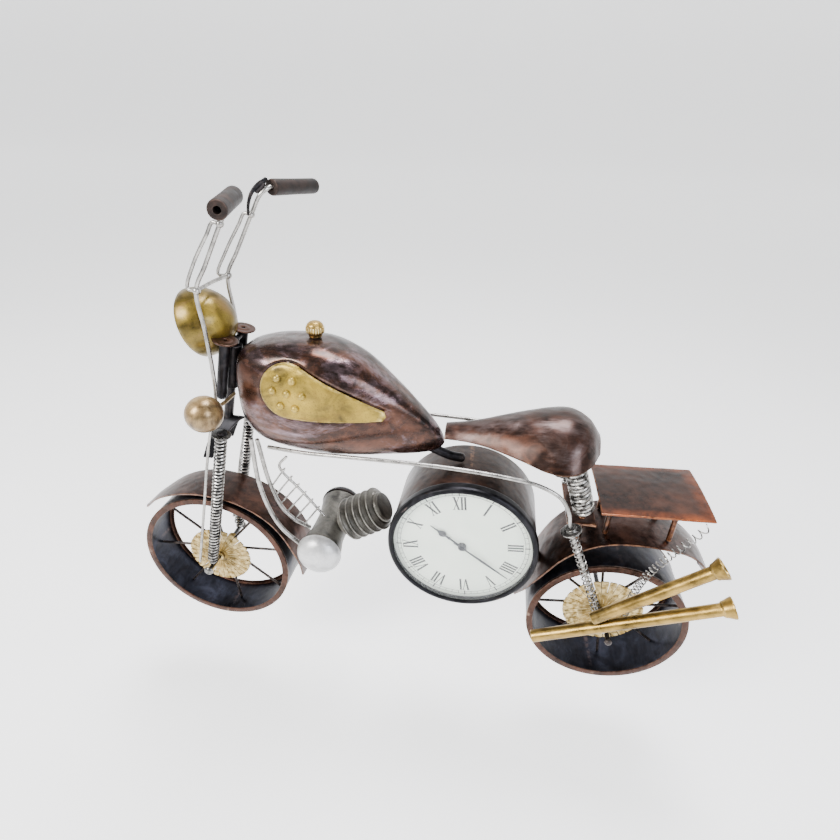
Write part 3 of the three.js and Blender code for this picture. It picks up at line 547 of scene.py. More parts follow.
def ring_of(name, shape, count, centre, look, axis=Y_AXIS):
    """Mesh of a number of copies of a shape, turned evenly round an axis."""
    return grown(name, to_mesh(name, shape), ring_tree, count=count, centre=spot(centre), axis=tuple(axis),
                 material=look)


def coil(name, points, turns, radius, wire, look, crowding=1.0, detail=18):
    """Mesh of a coil spring of an outside radius along a path, with detail steps to a turn."""
    path = points if len(points) == 2 else curve(points, COIL_PATH)
    return grown(name, line_mesh(name, path), coil_tree, turns=float(turns), detail=detail,
                 coil_radius=(radius - wire) * MM, wire_radius=wire * MM, crowding=float(crowding),
                 material=look)


# ------------------------------------------------------------------ finishes
class Finish:
    """Procedural material under construction, on the piece's own object coordinates."""

    def __init__(self, name):
        self.material = bpy.data.materials.new(name)
        self.material.use_nodes = True
        self.nodes = self.material.node_tree.nodes
        self.links = self.material.node_tree.links
        self.nodes.clear()
        self.shader = self.node("ShaderNodeBsdfPrincipled")
        out = self.node("ShaderNodeOutputMaterial")
        self.links.new(self.shader.outputs["BSDF"], out.inputs["Surface"])
        self.place = self.node("ShaderNodeTexCoord").outputs["Object"]

    @classmethod
    def of(cls, material):
        """Goes on with a finished material."""
        f = cls.__new__(cls)
        f.material, f.nodes, f.links = material, material.node_tree.nodes, material.node_tree.links
        f.shader = next(n for n in f.nodes if n.type == "BSDF_PRINCIPLED")
        f.place = next(n for n in f.nodes if n.type == "TEX_COORD").outputs["Object"]
        return f

    def node(self, kind, **settings):
        """New shader node with its settings."""
        made = self.nodes.new(kind)
        for key, value in settings.items():
            setattr(made, key, value)
        return made

    def feed(self, socket, value):
        """Links a socket or sets its value."""
        if isinstance(value, bpy.types.NodeSocket):
            self.links.new(value, socket)
        else:
            socket.default_value = value

    def stretched(self, scale, turn=(0, 0, 0)):
        """Object coordinates scaled and turned, for a pattern with a direction."""
        made = self.node("ShaderNodeMapping")
        self.links.new(self.place, made.inputs["Vector"])
        made.inputs["Scale"].default_value = scale
        made.inputs["Rotation"].default_value = turn
        return made.outputs[0]

    def grain(self, scale, detail=4.0, rough=0.55, twist=0.0, where=None):
        """Noise from 0 to 1, with scale cells to the metre."""
        made = self.node("ShaderNodeTexNoise")
        self.links.new(where or self.place, made.inputs["Vector"])
        made.inputs["Scale"].default_value = scale
        made.inputs["Detail"].default_value = detail
        made.inputs["Roughness"].default_value = rough
        made.inputs["Distortion"].default_value = twist
        return made.outputs["Fac"]

    def cells(self, scale):
        """Rounded cells, as hammer marks."""
        made = self.node("ShaderNodeTexVoronoi", feature="SMOOTH_F1")
        self.links.new(self.place, made.inputs["Vector"])
        made.inputs["Scale"].default_value = scale
        made.inputs["Smoothness"].default_value = 0.6
        return made.outputs["Distance"]

    def ramp(self, value, stops):
        """Colour for a value, from (position, colour) stops."""
        made = self.node("ShaderNodeValToRGB")
        self.feed(made.inputs["Fac"], value)
        bar = made.color_ramp.elements
        while len(bar) < len(stops):
            bar.new(0.5)
        for element, (at, colour) in zip(bar, stops):
            element.position = at
            element.color = tuple(colour) + (1,)
        return made.outputs["Color"]

    def span(self, value, low, high, to_low=0.0, to_high=1.0):
        """Value mapped from one range to another, and kept within it."""
        made = self.node("ShaderNodeMapRange")
        self.feed(made.inputs["Value"], value)
        for key, number in (("From Min", low), ("From Max", high), ("To Min", to_low), ("To Max", to_high)):
            made.inputs[key].default_value = number
        return made.outputs["Result"]

    def blend(self, factor, a, b):
        """Colour between a and b."""
        made = self.node("ShaderNodeMix", data_type="RGBA")
        self.feed(made.inputs[0], factor)
        for place, colour in ((6, a), (7, b)):
            self.feed(made.inputs[place], colour + (1,) if isinstance(colour, tuple) else colour)
        return made.outputs[2]

    def sums(self, operation, a, b):
        """Result of a sum with two numbers."""
        made = self.node("ShaderNodeMath", operation=operation)
        self.feed(made.inputs[0], a)
        self.feed(made.inputs[1], b)
        return made.outputs[0]

    def edges(self, low, high):
        """High on worn outer edges, from the surface's pointiness."""
        return self.span(self.node("ShaderNodeNewGeometry").outputs["Pointiness"], low, high)

    def bump(self, height, depth, after=None):
        """Normal for a height of some depth in metres, on top of another normal."""
        made = self.node("ShaderNodeBump")
        made.inputs["Strength"].default_value = 1.0
        made.inputs["Distance"].default_value = depth
        self.links.new(height, made.inputs["Height"])
        if after is not None:
            self.links.new(after, made.inputs["Normal"])
        return made.outputs["Normal"]

    def set(self, **values):
        """Sets or links the shader's sockets, and gives the material."""
        for key, value in values.items():
            name = {"colour": "Base Color", "coat": "Coat Weight", "coat_rough": "Coat Roughness"}.get(
                key, key.replace("_", " ").title())
            if name == "Ior":
                name = "IOR"
            if isinstance(value, tuple) and len(value) == 3 and name == "Base Color":
                value = value + (1,)
            self.feed(self.shader.inputs[name], value)
        return self.material


def shade(colour, factor):
    """Colour made darker or lighter."""
    return tuple(min(c * factor, 1.0) for c in colour)


SCRATCH_DEPTH = 0.00006  # metres
DIRT_DEPTH = 0.00003
HAMMER_CELLS = 150.0     # hammer marks to the metre


def beaten_metal(name, dark, mid, light, *, metal, rough, patch, dent, wear, streak=0.4, coat=0.0,
                 streak_way=(1.0, 1.0, 0.16), fleck=0.5, painted_sheen_and_mottle=None):
    """Hand-worked lacquered metal.

    Patches run from dark through mid to light, patch to the metre. Streak and fleck are the
    strengths of the brushed lines and of the dirt, streak_way flattens the lines along an axis,
    the sheen-and-mottle colour is painted in pale clouds along the lines, a painted sheen of
    reflected light (on the gold paint it is darker and makes brown mottles), wear the colour of
    rubbed edges, dent the depth of the hammer marks in metres and rough the range of the roughness.
    """
    f = Finish(name)
    patches = f.grain(patch, 5.0, 0.62, 0.6)
    colour = f.ramp(patches, [(0.33, dark), (0.52, mid), (0.72, light)])
    lines = f.grain(260.0, 4.0, 0.65, 0.2, f.stretched(streak_way))
    colour = f.blend(f.span(lines, 0.42, 0.72, 0.0, streak), colour, shade(light, 1.15))
    dirt = f.grain(1500.0, 3.0, 0.7)
    colour = f.blend(f.span(dirt, 0.56, 0.7, 0.0, fleck), colour, shade(dark, 0.45))
    # Painted sheen: pale clouds of reflected light painted into the colour along the brushed lines; a colour
    # darker than the metal gives brown mottling instead.
    if painted_sheen_and_mottle:
        cloud = f.grain(26.0, 5.0, 0.7, 1.2, f.stretched((0.7, 1.0, 1.5), (0, 0.5, 0)))
        amount = f.sums("MULTIPLY", f.span(cloud, 0.5, 0.68), f.span(lines, 0.35, 0.6))
        colour = f.blend(amount, colour, painted_sheen_and_mottle)
    rub = f.sums("MULTIPLY", f.edges(0.515, 0.58), f.span(f.grain(320.0, 4.0), 0.38, 0.6))
    colour = f.blend(rub, colour, wear)
    low, high = rough
    gloss = f.span(f.sums("ADD", f.sums("MULTIPLY", patches, 0.6), f.sums("MULTIPLY", lines, 0.4)),
                   0.35, 0.65, low, high)
    normal = f.bump(f.cells(HAMMER_CELLS), dent)
    normal = f.bump(lines, SCRATCH_DEPTH, normal)
    normal = f.bump(dirt, DIRT_DEPTH, normal)
    return f.set(colour=colour, metallic=metal, roughness=gloss, normal=normal, coat=coat, coat_rough=0.22)


BURN_SIDES, BURN_BACK, BURN_FULL = 0.006, 0.008, 0.001   # metres in from the edge


def burnt_edges(material, node):
    """Adds a heat-tinted orange border to a flat sheet, from the distance to its node's box."""
    f = Finish.of(material)
    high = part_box(node)[1]
    split = f.node("ShaderNodeSeparateXYZ")
    f.links.new(f.place, split.inputs[0])
    out_y = f.sums("ABSOLUTE", split.outputs["Y"], 0.0)
    sides = f.span(out_y, high.y - BURN_SIDES, high.y - BURN_FULL)
    back = f.span(split.outputs["X"], high.x - BURN_BACK, high.x - BURN_FULL)
    ragged = f.span(f.grain(55.0, 5.0, 0.7), 0.35, 0.6)
    amount = f.sums("MULTIPLY", f.sums("MAXIMUM", sides, back), ragged)
    before = f.shader.inputs["Base Color"].links[0].from_socket
    f.set(colour=f.blend(f.sums("MULTIPLY", amount, 0.8), before, (0.26, 0.06, 0.014)))
    return material


def copper_finishes(copper):
    """Finishes of the aged copper sheet."""
    out = {}
    # The last colour given to the sheet, the tank and the seat is a painted sheen: pale reflection clouds
    # painted into the copper.
    out["copper"] = beaten_metal(
        "aged copper sheet", shade(copper, 0.1), shade(copper, 0.38), shade(copper, 1.3), metal=0.85,
        rough=(0.26, 0.44), patch=40.0, dent=0.0003, wear=(0.36, 0.17, 0.085), streak=0.35, coat=0.25,
        painted_sheen_and_mottle=(0.1, 0.055, 0.045))
    out["tank"] = beaten_metal(
        "aged copper tank", shade(copper, 0.07), shade(copper, 0.34), shade(copper, 1.7), metal=0.9,
        rough=(0.17, 0.36), patch=36.0, dent=0.0005, wear=(0.34, 0.2, 0.12), streak=0.4, coat=0.4,
        streak_way=(0.35, 1.0, 1.0), painted_sheen_and_mottle=(0.22, 0.155, 0.18))
    out["drum"] = beaten_metal(
        "dark drum sheet", shade(copper, 0.05), shade(copper, 0.17), shade(copper, 0.55), metal=0.8,
        rough=(0.3, 0.48), patch=40.0, dent=0.0003, wear=(0.14, 0.07, 0.04), streak=0.25, coat=0.15)
    out["seat"] = beaten_metal(
        "aged copper seat", shade(copper, 0.1), shade(copper, 0.34), shade(copper, 0.95), metal=0.85,
        rough=(0.28, 0.46), patch=60.0, dent=0.0004, wear=(0.3, 0.17, 0.1), streak=0.5, coat=0.2,
        streak_way=(0.2, 1.0, 1.0), painted_sheen_and_mottle=(0.085, 0.06, 0.056))
    out["lip"] = beaten_metal(
        "copper wheel lip", shade(copper, 0.15), shade(copper, 0.5), shade(copper, 1.2), metal=0.85,
        rough=(0.3, 0.48), patch=70.0, dent=0.0002, wear=(0.2, 0.13, 0.095), streak=0.4, coat=0.1)
    out["rack"] = burnt_edges(beaten_metal(
        "rack sheet", shade(copper, 0.1), shade(copper, 0.32), shade(copper, 1.0), metal=0.85,
        rough=(0.26, 0.44), patch=34.0, dent=0.0003, wear=(0.5, 0.2, 0.08), streak=0.35,
        coat=0.25), "rack")
    return out


def dark_finishes():
    """Finishes of the blackened and grey metal, the same whatever the colours set."""
    out = {}
    out["band"] = beaten_metal(
        "blue-black wheel band", (0.002, 0.002, 0.004), (0.006, 0.007, 0.012), (0.03, 0.033, 0.05),
        metal=0.85, rough=(0.26, 0.42), patch=60.0, dent=0.0002, wear=(0.07, 0.05, 0.05), streak=0.3,
        coat=0.0, streak_way=(1.0, 0.2, 1.0), fleck=0.3)
    out["spoke"] = beaten_metal(
        "dark spoke wire", (0.006, 0.006, 0.007), (0.016, 0.015, 0.016), (0.06, 0.05, 0.048), metal=0.7,
        rough=(0.32, 0.5), patch=120.0, dent=0.0001, wear=(0.16, 0.12, 0.1))
    out["black"] = beaten_metal(
        "worn black paint", (0.002, 0.002, 0.0025), (0.005, 0.005, 0.007), (0.022, 0.021, 0.024),
        metal=0.8, rough=(0.3, 0.48), patch=80.0, dent=0.00018, wear=(0.07, 0.055, 0.05), streak=0.25,
        coat=0.0, fleck=0.2)
    out["grip"] = beaten_metal(
        "brown-black grip", (0.003, 0.002, 0.002), (0.009, 0.006, 0.005), (0.045, 0.026, 0.02),
        metal=0.6, rough=(0.46, 0.64), patch=90.0, dent=0.00025, wear=(0.16, 0.1, 0.075), streak=0.35,
        coat=0.0, streak_way=(1.0, 0.2, 1.0))
    out["silver"] = beaten_metal(
        "silver dome paint", (0.36, 0.36, 0.36), (0.56, 0.56, 0.56), (0.76, 0.76, 0.75), metal=0.6,
        rough=(0.32, 0.48), patch=60.0, dent=0.0002, wear=(0.85, 0.85, 0.84), streak=0.2, coat=0.1,
        fleck=0.35)
    out["engine"] = beaten_metal(
        "dull engine paint", (0.03, 0.028, 0.024), (0.1, 0.093, 0.08), (0.21, 0.2, 0.17), metal=0.5,
        rough=(0.36, 0.56), patch=75.0, dent=0.00035, wear=(0.5, 0.47, 0.42), streak=0.35, coat=0.1)
    out["lamp"] = beaten_metal(
        "warm gold lamp paint", (0.06, 0.035, 0.015), (0.3, 0.19, 0.08), (0.62, 0.45, 0.22), metal=0.7,
        rough=(0.26, 0.46), patch=60.0, dent=0.0003, wear=(0.75, 0.58, 0.34), streak=0.3, coat=0.2)
    return out


def bright_finishes(brass, gold, steel):
    """Finishes of the brass, the gold paint and the bright wire."""
    out = {}
    out["steel"] = beaten_metal(
        "bright wire", shade(steel, 0.2), shade(steel, 0.52), shade(steel, 0.95), metal=0.92,
        rough=(0.2, 0.36), patch=110.0, dent=0.00008, wear=(0.62, 0.6, 0.56), streak=0.3, coat=0.0,
        fleck=0.6)
    out["spring"] = beaten_metal(
        "tarnished spring wire", shade(steel, 0.03), shade(steel, 0.1), shade(steel, 0.4), metal=0.92,
        rough=(0.2, 0.38), patch=130.0, dent=0.00008, wear=(0.7, 0.68, 0.64), streak=0.3, coat=0.0,
        fleck=0.6)
    out["brass"] = beaten_metal(
        "aged brass", shade(brass, 0.2), shade(brass, 0.72), shade(brass, 1.15), metal=0.9,
        rough=(0.24, 0.42), patch=75.0, dent=0.00018, wear=(0.8, 0.66, 0.36), streak=0.45, coat=0.0,
        streak_way=(0.16, 1.0, 1.0))
    out["hub"] = beaten_metal(
        "hub brass", shade(brass, 0.12), shade(brass, 0.42), shade(brass, 0.85), metal=0.85,
        rough=(0.34, 0.52), patch=90.0, dent=0.00015, wear=(0.56, 0.43, 0.2), streak=0.4, coat=0.0)
    out["gold"] = beaten_metal(
        "mottled gold paint", shade(gold, 0.16), shade(gold, 0.75), shade(gold, 1.4), metal=0.6,
        rough=(0.3, 0.5), patch=62.0, dent=0.0006, wear=(0.66, 0.5, 0.16), streak=0.45, coat=0.1,
        streak_way=(0.4, 1.0, 1.0), fleck=0.9, painted_sheen_and_mottle=(0.13, 0.075, 0.012))
    # The headlight's last colour is a painted sheen of pale reflection clouds; the gold paint's darker one
    # above is brown mottling.
    out["bowl"] = beaten_metal(
        "tarnished headlight paint", shade(gold, 0.08), shade(gold, 0.32), shade(gold, 0.8), metal=0.75,
        rough=(0.26, 0.46), patch=38.0, dent=0.0004, wear=(0.5, 0.4, 0.18), streak=0.4, coat=0.25,
        streak_way=(0.6, 1.0, 0.3), fleck=0.8, painted_sheen_and_mottle=(0.2, 0.11, 0.045))
    return out


def clock_finishes():
    """Finishes of the dial, its glass and the movement."""
    out = {}
    f = Finish("printed dial white")
    wash = f.grain(30.0, 4.0, 0.6)
    colour = f.ramp(wash, [(0.35, (0.76, 0.84, 0.72)), (0.6, (0.86, 0.92, 0.81))])
    specks = f.grain(900.0, 2.0, 0.6)
    colour = f.blend(f.span(specks, 0.62, 0.75, 0.0, 0.25), colour, (0.5, 0.5, 0.44))
    out["dial"] = f.set(colour=colour, roughness=f.span(wash, 0.3, 0.7, 0.42, 0.6),
                        normal=f.bump(specks, 0.00001))

    f = Finish("dial ink")
    worn = f.grain(700.0, 4.0, 0.6)
    out["ink"] = f.set(colour=f.ramp(worn, [(0.3, (0.002, 0.002, 0.002)), (0.7, (0.012, 0.013, 0.011))]),
                       roughness=f.span(worn, 0.3, 0.7, 0.6, 0.75), normal=f.bump(worn, 0.00001))

    f = Finish("painted hands")
    rub = f.grain(500.0, 4.0)
    out["hand"] = f.set(colour=f.ramp(rub, [(0.3, (0.003, 0.004, 0.007)), (0.75, (0.016, 0.02, 0.03))]),
                        metallic=0.3, roughness=f.span(rub, 0.3, 0.7, 0.25, 0.4),
                        normal=f.bump(rub, 0.00002))

    f = Finish("clear crystal")
    smear = f.grain(40.0, 3.0)
    out["glass"] = f.set(colour=(0.96, 0.98, 0.99), alpha=0.05, ior=1.5,
                         roughness=f.span(smear, 0.3, 0.7, 0.02, 0.06))

    f = Finish("moulded black plastic")
    pebble = f.grain(1300.0, 3.0, 0.6)
    haze = f.grain(60.0, 3.0)
    out["plastic"] = f.set(colour=f.ramp(haze, [(0.35, (0.014, 0.014, 0.016)),
                                                (0.7, (0.032, 0.032, 0.035))]),
                           roughness=f.span(haze, 0.3, 0.7, 0.4, 0.55), normal=f.bump(pebble, 0.00005))

    f = Finish("battery jacket")
    split = f.node("ShaderNodeSeparateXYZ")
    f.links.new(f.place, split.inputs[0])
    scuff = f.grain(400.0, 4.0)
    cell_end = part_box("clock_battery")[0].x
    jacket = f.span(split.outputs["X"], cell_end + 0.0125, cell_end + 0.0127)
    colour = f.blend(jacket, (0.42, 0.2, 0.06), (0.02, 0.02, 0.024))
    colour = f.blend(f.span(scuff, 0.6, 0.72, 0.0, 0.35), colour, (0.3, 0.3, 0.3))
    out["battery"] = f.set(colour=colour, metallic=0.5, roughness=f.span(scuff, 0.3, 0.7, 0.25, 0.4),
                           normal=f.bump(scuff, 0.00002))
    return out


FINISHES = {}


def finish(name):
    """Finish by the name of what it covers; all of them are made on the first call."""
    if not FINISHES:
        colours = bpy.context.scene.tin_bike_colours
        copper, brass, gold, steel = (tuple(colour) for colour in (
            colours.copper, colours.brass, colours.gold_paint, colours.steel))
        FINISHES.update(copper_finishes(copper))
        FINISHES.update(dark_finishes())
        FINISHES.update(bright_finishes(brass, gold, steel))
        FINISHES.update(clock_finishes())
    return FINISHES[name]


# ------------------------------------------------------------------ settings
HAMMER_DEPTH = 0.22      # depth of the marks beaten into the loose sheets


class TinBikeSizes(bpy.types.PropertyGroup):
    """Sizes of the bike's details, in millimetres."""

    wire: FloatProperty(name="Wire radius", description="Radius of the bent rail and handlebar wire, in mm",
                        default=1.15, min=0.8, max=2.0)
    spoke: FloatProperty(name="Spoke radius", description="Radius of the wheel spokes, in mm",
                         default=0.9, min=0.5, max=1.5)
    hub_slits: IntProperty(name="Hub slits", description="Number of radial slits in each hub disc",
                           default=30, min=12, max=90)
    fork_turns: FloatProperty(name="Fork spring turns", description="Turns of each front fork spring",
                              default=40.0, min=10, max=80)
    shock_turns: FloatProperty(name="Shock turns", description="Turns of each rear shock spring",
                               default=22.0, min=8, max=60)
    seat_turns: FloatProperty(name="Seat spring turns", description="Turns of each seat spring",
                              default=16.0, min=6, max=30)
    fins: IntProperty(name="Cylinder cups", description="Number of cups on the engine cylinder",
                      default=5, min=3, max=8)
    rungs: IntProperty(name="Ladder rungs", description="Rungs between the down tube and its side wire",
                       default=6, min=3, max=12)
    hammer: FloatProperty(name="Hammer mark size", description="Size of the marks in the beaten sheet, in mm",
                          default=6.0, min=2, max=15)


class TinBikeColours(bpy.types.PropertyGroup):
    """Base colours of the finishes."""

    copper: FloatVectorProperty(name="Copper", description="Lacquered copper sheet", subtype="COLOR",
                                size=3, default=(0.078, 0.030, 0.017), min=0, max=1)
    brass: FloatVectorProperty(name="Brass", description="Pipes, hubs and filler cap", subtype="COLOR",
                               size=3, default=(0.42, 0.27, 0.07), min=0, max=1)
    gold_paint: FloatVectorProperty(name="Gold paint", description="Lamps and tank panels",
                                    subtype="COLOR", size=3, default=(0.36, 0.245, 0.028), min=0, max=1)
    steel: FloatVectorProperty(name="Wire", description="Rails, springs and handlebar", subtype="COLOR",
                               size=3, default=(0.56, 0.54, 0.51), min=0, max=1)


def sizes():
    """Sizes set in the sidebar."""
    return bpy.context.scene.tin_bike_sizes


class PieceOperator:
    """What every piece operator shares."""

    bl_options = {"REGISTER", "UNDO"}

    def execute(self, context):
        self.build()
        return {"FINISHED"}


# ------------------------------------------------------------------ wheels
# Axle, radius, width, disc radius, disc's distance from the middle, degrees to the first spoke.
WHEELS = (("front", FRONT_AXLE, 53.0, 28.5, 22.5, 8.5, 5.0),
          ("rear", REAR_AXLE, 50.0, 38.0, 25.5, 6.5, 8.0))
RIM_FLATS = 40           # flats round each rim in the solid, which the round rim stays inside
RIM_WALL, LIP_DEPTH = 1.4, 4.4
RIM_SIDES, HUB_SIDES = 144, 96
SPOKES = 8
HUB_RIM = 0.62           # radius where the slits start, as a share of the disc
SLIT = 0.36              # half the width of a slit


class TINBIKE_OT_wheels(PieceOperator, bpy.types.Operator):
    """Rolled wheel bands with copper lips, brass hub discs and wire spokes"""

    bl_idname = "tin_bike.wheels"
    bl_label = "Wheels"

    def build(self):
        for end, axle, radius, width, disc, disc_at, turn in WHEELS:
            self.rim(end, axle, radius, width / 2)
            self.spokes(end, axle, radius, math.radians(turn))
            self.hub(end, axle, disc, disc_at)

    def rim(self, end, axle, radius, half):
        """Band and its two rolled lips, half to each side of the middle."""
        low = radius * math.cos(math.pi / RIM_FLATS)
        inner = radius - RIM_WALL
        band = soften([(low - 0.25, 0.9 - half), (low - 0.25, half - 0.9), (inner, half - 0.9),
                       (inner, 0.9 - half)], 0.3, True)
        add(end + "_band", end + "_wheel", finish("band"),
            shifted(turned(band, RIM_SIDES, True), axle), (end + "_rim",))
        lips = []
        for side in (-1, 1):
            outline = soften([(low - 0.05, side * (half - 1.9)), (low - 0.05, side * (half - 0.05)),
                              (radius - LIP_DEPTH, side * (half - 0.05)),
                              (radius - LIP_DEPTH, side * (half - 0.85)),
                              (inner - 0.9, side * (half - 0.95)),
                              (inner - 0.9, side * (half - 1.9))], 0.5, True)
            lips.append(shifted(turned(outline, RIM_SIDES, True), axle))
        add(end + "_lips", end + "_wheel", finish("lip"), merged(*lips))

    def spokes(self, end, axle, radius, turn):
        """Wire spokes from the hub to the band."""
        way = vec(math.cos(turn), 0, math.sin(turn))
        spoke = swept([axle + way * r for r in (2.6, radius * 0.5, radius - RIM_WALL - 0.5)],
                      sizes().spoke, 12, 3.0)
        add(end + "_spokes", end + "_wheel", finish("spoke"),
            ring_of(end + "_spokes", spoke, SPOKES, axle, finish("spoke")))

    def hub(self, end, axle, disc, disc_at):
        """Hub tube with a slotted disc on the dial side."""
        hub_rim = disc * HUB_RIM
        outline = [(1.86, -disc_at - 2.5), (3.3, -disc_at - 2.5), (3.6, -disc_at - 2.1),
                   (3.6, -disc_at - 0.9), (5.2, -disc_at - 0.75), (5.6, -disc_at - 0.42),
                   (hub_rim, -disc_at - 0.42), (hub_rim + 0.3, -disc_at),
                   (hub_rim, -disc_at + 0.42), (3.6, -disc_at + 0.45), (3.6, disc_at + 2.1),
                   (3.3, disc_at + 2.5), (1.86, disc_at + 2.5)]
        tube = to_mesh(end + "_hub_tube", shifted(turned(outline, HUB_SIDES, True), axle))
        count = sizes().hub_slits
        inner = hub_rim - 0.6
        wide, narrow = disc * math.tan(math.pi / count), inner * math.tan(math.pi / count)
        blade = [(inner, -narrow + SLIT * 0.5), (disc - 0.6, -wide + SLIT), (disc, -wide + SLIT + 0.5),
                 (disc, wide - SLIT - 0.5), (disc - 0.6, wide - SLIT), (inner, narrow - SLIT * 0.5)]
        leaf = shifted(plate(blade, 0.8), vec(0, -disc_at - 0.4, 0) + axle)
        petals = ring_of(end + "_hub_petals", leaf, count, axle, finish("hub"))
        score = plate([(6.2, -0.14), (inner, -0.2), (inner, 0.2), (6.2, 0.14)], 0.25)
        score = shifted(score, vec(0, -disc_at - 0.6, 0) + axle)
        scores = ring_of(end + "_hub_scores", score, count, axle, finish("hub"))
        add(end + "_hub_disc", end + "_wheel", finish("hub"), joined(tube, petals, scores),
            (end + "_hub",))


class TINBIKE_OT_axles(PieceOperator, bpy.types.Operator):
    """Axle bars with a washer and a soldered head at each end"""

    bl_idname = "tin_bike.axles"
    bl_label = "Axles"

    def build(self):
        for end, axle, reach, head, body in (("front", FRONT_AXLE, 24.7, 3.3, "fork"),
                                             ("rear", REAR_AXLE, 31.2, 2.3, "frame")):
            outline = [(0, -reach - 2)]
            outline += [(head * k, -reach - 2 + d) for k, d in ((0.45, 0.05), (0.75, 0.5), (0.95, 1.2))]
            outline += [(head, -reach - 0.3), (head - 0.2, -reach), (1.5, -reach), (1.5, reach),
                        (head - 0.2, reach), (head, reach + 0.3), (head, reach + 0.75),
                        (head * 0.82, reach + 1.0), (2.0, reach + 1.1), (1.7, reach + 1.9), (0, reach + 2)]
            shape = shifted(turned(outline, 48), axle)
            mark = dents(1.6, 0.16)
            verts = np.array([p + vec(0, 0, mark(p)) if abs(p[1]) > reach else p for p in shape[0]])
            look = finish("spring" if end == "front" else "spoke")
            add(end + "_axle_bar", body, look, (verts, shape[1]), (end + "_axle",))


# ------------------------------------------------------------------ fork
RAKE = math.radians(12.7)
STEER = vec(math.sin(RAKE), 0, math.cos(RAKE))
YOKE_X, YOKE_HEIGHT = -236.0, 218.0
TUBE_Y, TUBE_END = 11.0, 182.8
LEG_Y, LEG_SPRING, LEG_TOP = 19.6, 3.7, 165.0


def on_fork(z, y=0.0):
    """Point on the steering line at a height."""
    return vec(YOKE_X + (z - YOKE_HEIGHT) * math.tan(RAKE), y, z)


def on_leg(z, y=LEG_Y):
    """Point on a lower leg's line at a height."""
    return vec(FRONT_AXLE[0] + (z - FRONT_AXLE[2]) * math.tan(RAKE), y, z)


class TINBIKE_OT_fork(PieceOperator, bpy.types.Operator):
    """Steering fork: black upper tubes with copper caps, crown arch, lower rods and coil springs"""

    bl_idname = "tin_bike.fork"
    bl_label = "Fork"

    def build(self):
        foot, top = on_fork(TUBE_END), on_fork(YOKE_HEIGHT)
        length = np.linalg.norm(top - foot)
        for side, y in (("left", -TUBE_Y), ("right", TUBE_Y)):
            tube = soften([(0, 0), (2.3, 0), (3.1, 1.6), (3.1, length), (0, length)], 0.6)
            add("upper_tube_" + side, "fork", finish("black"),
                aim(turned(tube, 48), STEER, foot + vec(0, y, 0)), ("fork_tube_" + side,))
            cap = soften([(1.15, 0.35), (6.8, 0.3), (7.15, 0.9), (6.9, 1.45), (4.2, 1.2), (2.6, 1.5),
                          (1.15, 1.4)], 0.25, True)
            add("tube_cap_" + side, "fork", finish("lip"),
                aim(turned(cap, 56, True), STEER, top + vec(0, y, 0)), ("fork_cap_" + side,))
        add("stem_and_arm", "fork", finish("black"), self.stem(), ("steering_stem",))
        add("crown_arch", "fork", finish("black"), self.crown(), ("fork_crown",))
        low = on_leg(FRONT_AXLE[2] + 2.5)
        high = on_leg(LEG_TOP)
        axis = unit(high - low)
        reach = np.linalg.norm(high - low)
        washer = reach - 3
        rod = soften([(0, 0), (2, 0), (2, washer + 1.3), (3, washer + 1.5), (2.8, washer + 2.2),
                      (1.6, reach - 0.3), (0, reach)], 0.2)
        for side, y in (("right", 1), ("left", -1)):
            flip = vec(1, y, 1)
            add("lower_rod_" + side, "fork", finish("black"),
                aim(turned(rod, 40), axis * flip, low * flip), ("fork_rod_" + side,))
            start = on_leg(FRONT_AXLE[2] + 5.5) * flip
            end = (low + axis * (washer - 0.4)) * flip
            mesh = coil("lower_spring_" + side, [start, end], sizes().fork_turns, LEG_SPRING, 0.58,
                        finish("spring"), detail=16)
            plate_top = soften([(2.1, -0.1), (5.5, 0), (5.7, 0.5), (5.4, 0.9), (3.3, 1.3), (2.1, 1.3)],
                               0.25, True)
            cap = aim(turned(plate_top, 44, True), axis * flip, (low + axis * washer) * flip)
            add("lower_spring_" + side, "fork", finish("spring"),
                joined(mesh, to_mesh("cap", cap)), ("fork_spring_" + side,))

    def stem(self):
        """Steering post, the yoke across its top and the arm that holds the middle lamp."""
        low, high = on_fork(163), on_fork(YOKE_HEIGHT - 1)
        reach = np.linalg.norm(high - low)
        post = aim(turned(soften([(0, 0), (2.85, 0), (2.85, reach), (0, reach)], 0.5), 40), STEER, low)
        bar = on_fork(YOKE_HEIGHT - 2.8)
        yoke = swept([bar + vec(0, -7.3, 0), bar, bar + vec(0, 7.3, 0)], 1.6, 20)
        lamp = vec(-256.3, 0, 224)
        way = unit(lamp - bar)
        arm = swept([bar, bar + way * 1.5, bar + way * 3.0], 1.5, 16)
        return merged(post, yoke, arm)

    def crown(self):
        """Arched sheet over the tops of the lower legs."""
        def at(u, v):
            t = u * 2 - 1
            z = 165 - 24 * abs(t) ** 1.7
            wide = 17 - 11 * abs(t)
            foot = on_fork(z)
            return vec(foot[0] + 2 - 7 * abs(t) + (v - 0.5) * wide, t * 14.7, z)
        mark = dents(5, 0.12, 3.0)
        return bevelled("crown_arch", sheet(at, 64, 18, 1.4, mark), 0.35, 50)


LAMP = vec(-241.5, 34.5, 184.5)
BAR_X, BAR_Y, BAR_HEIGHT = -244.0, 17.0, 247.5
GRIP_IN, GRIP_OUT = vec(-215, 17.5, 295), vec(-203.7, 56, 293.2)
GRIP_AXIS = unit(GRIP_OUT - GRIP_IN)
WIRE_Y = LEG_Y + LEG_SPRING + 1.3 * 0.7 + GAP    # middle of a wire beside the leg's spring


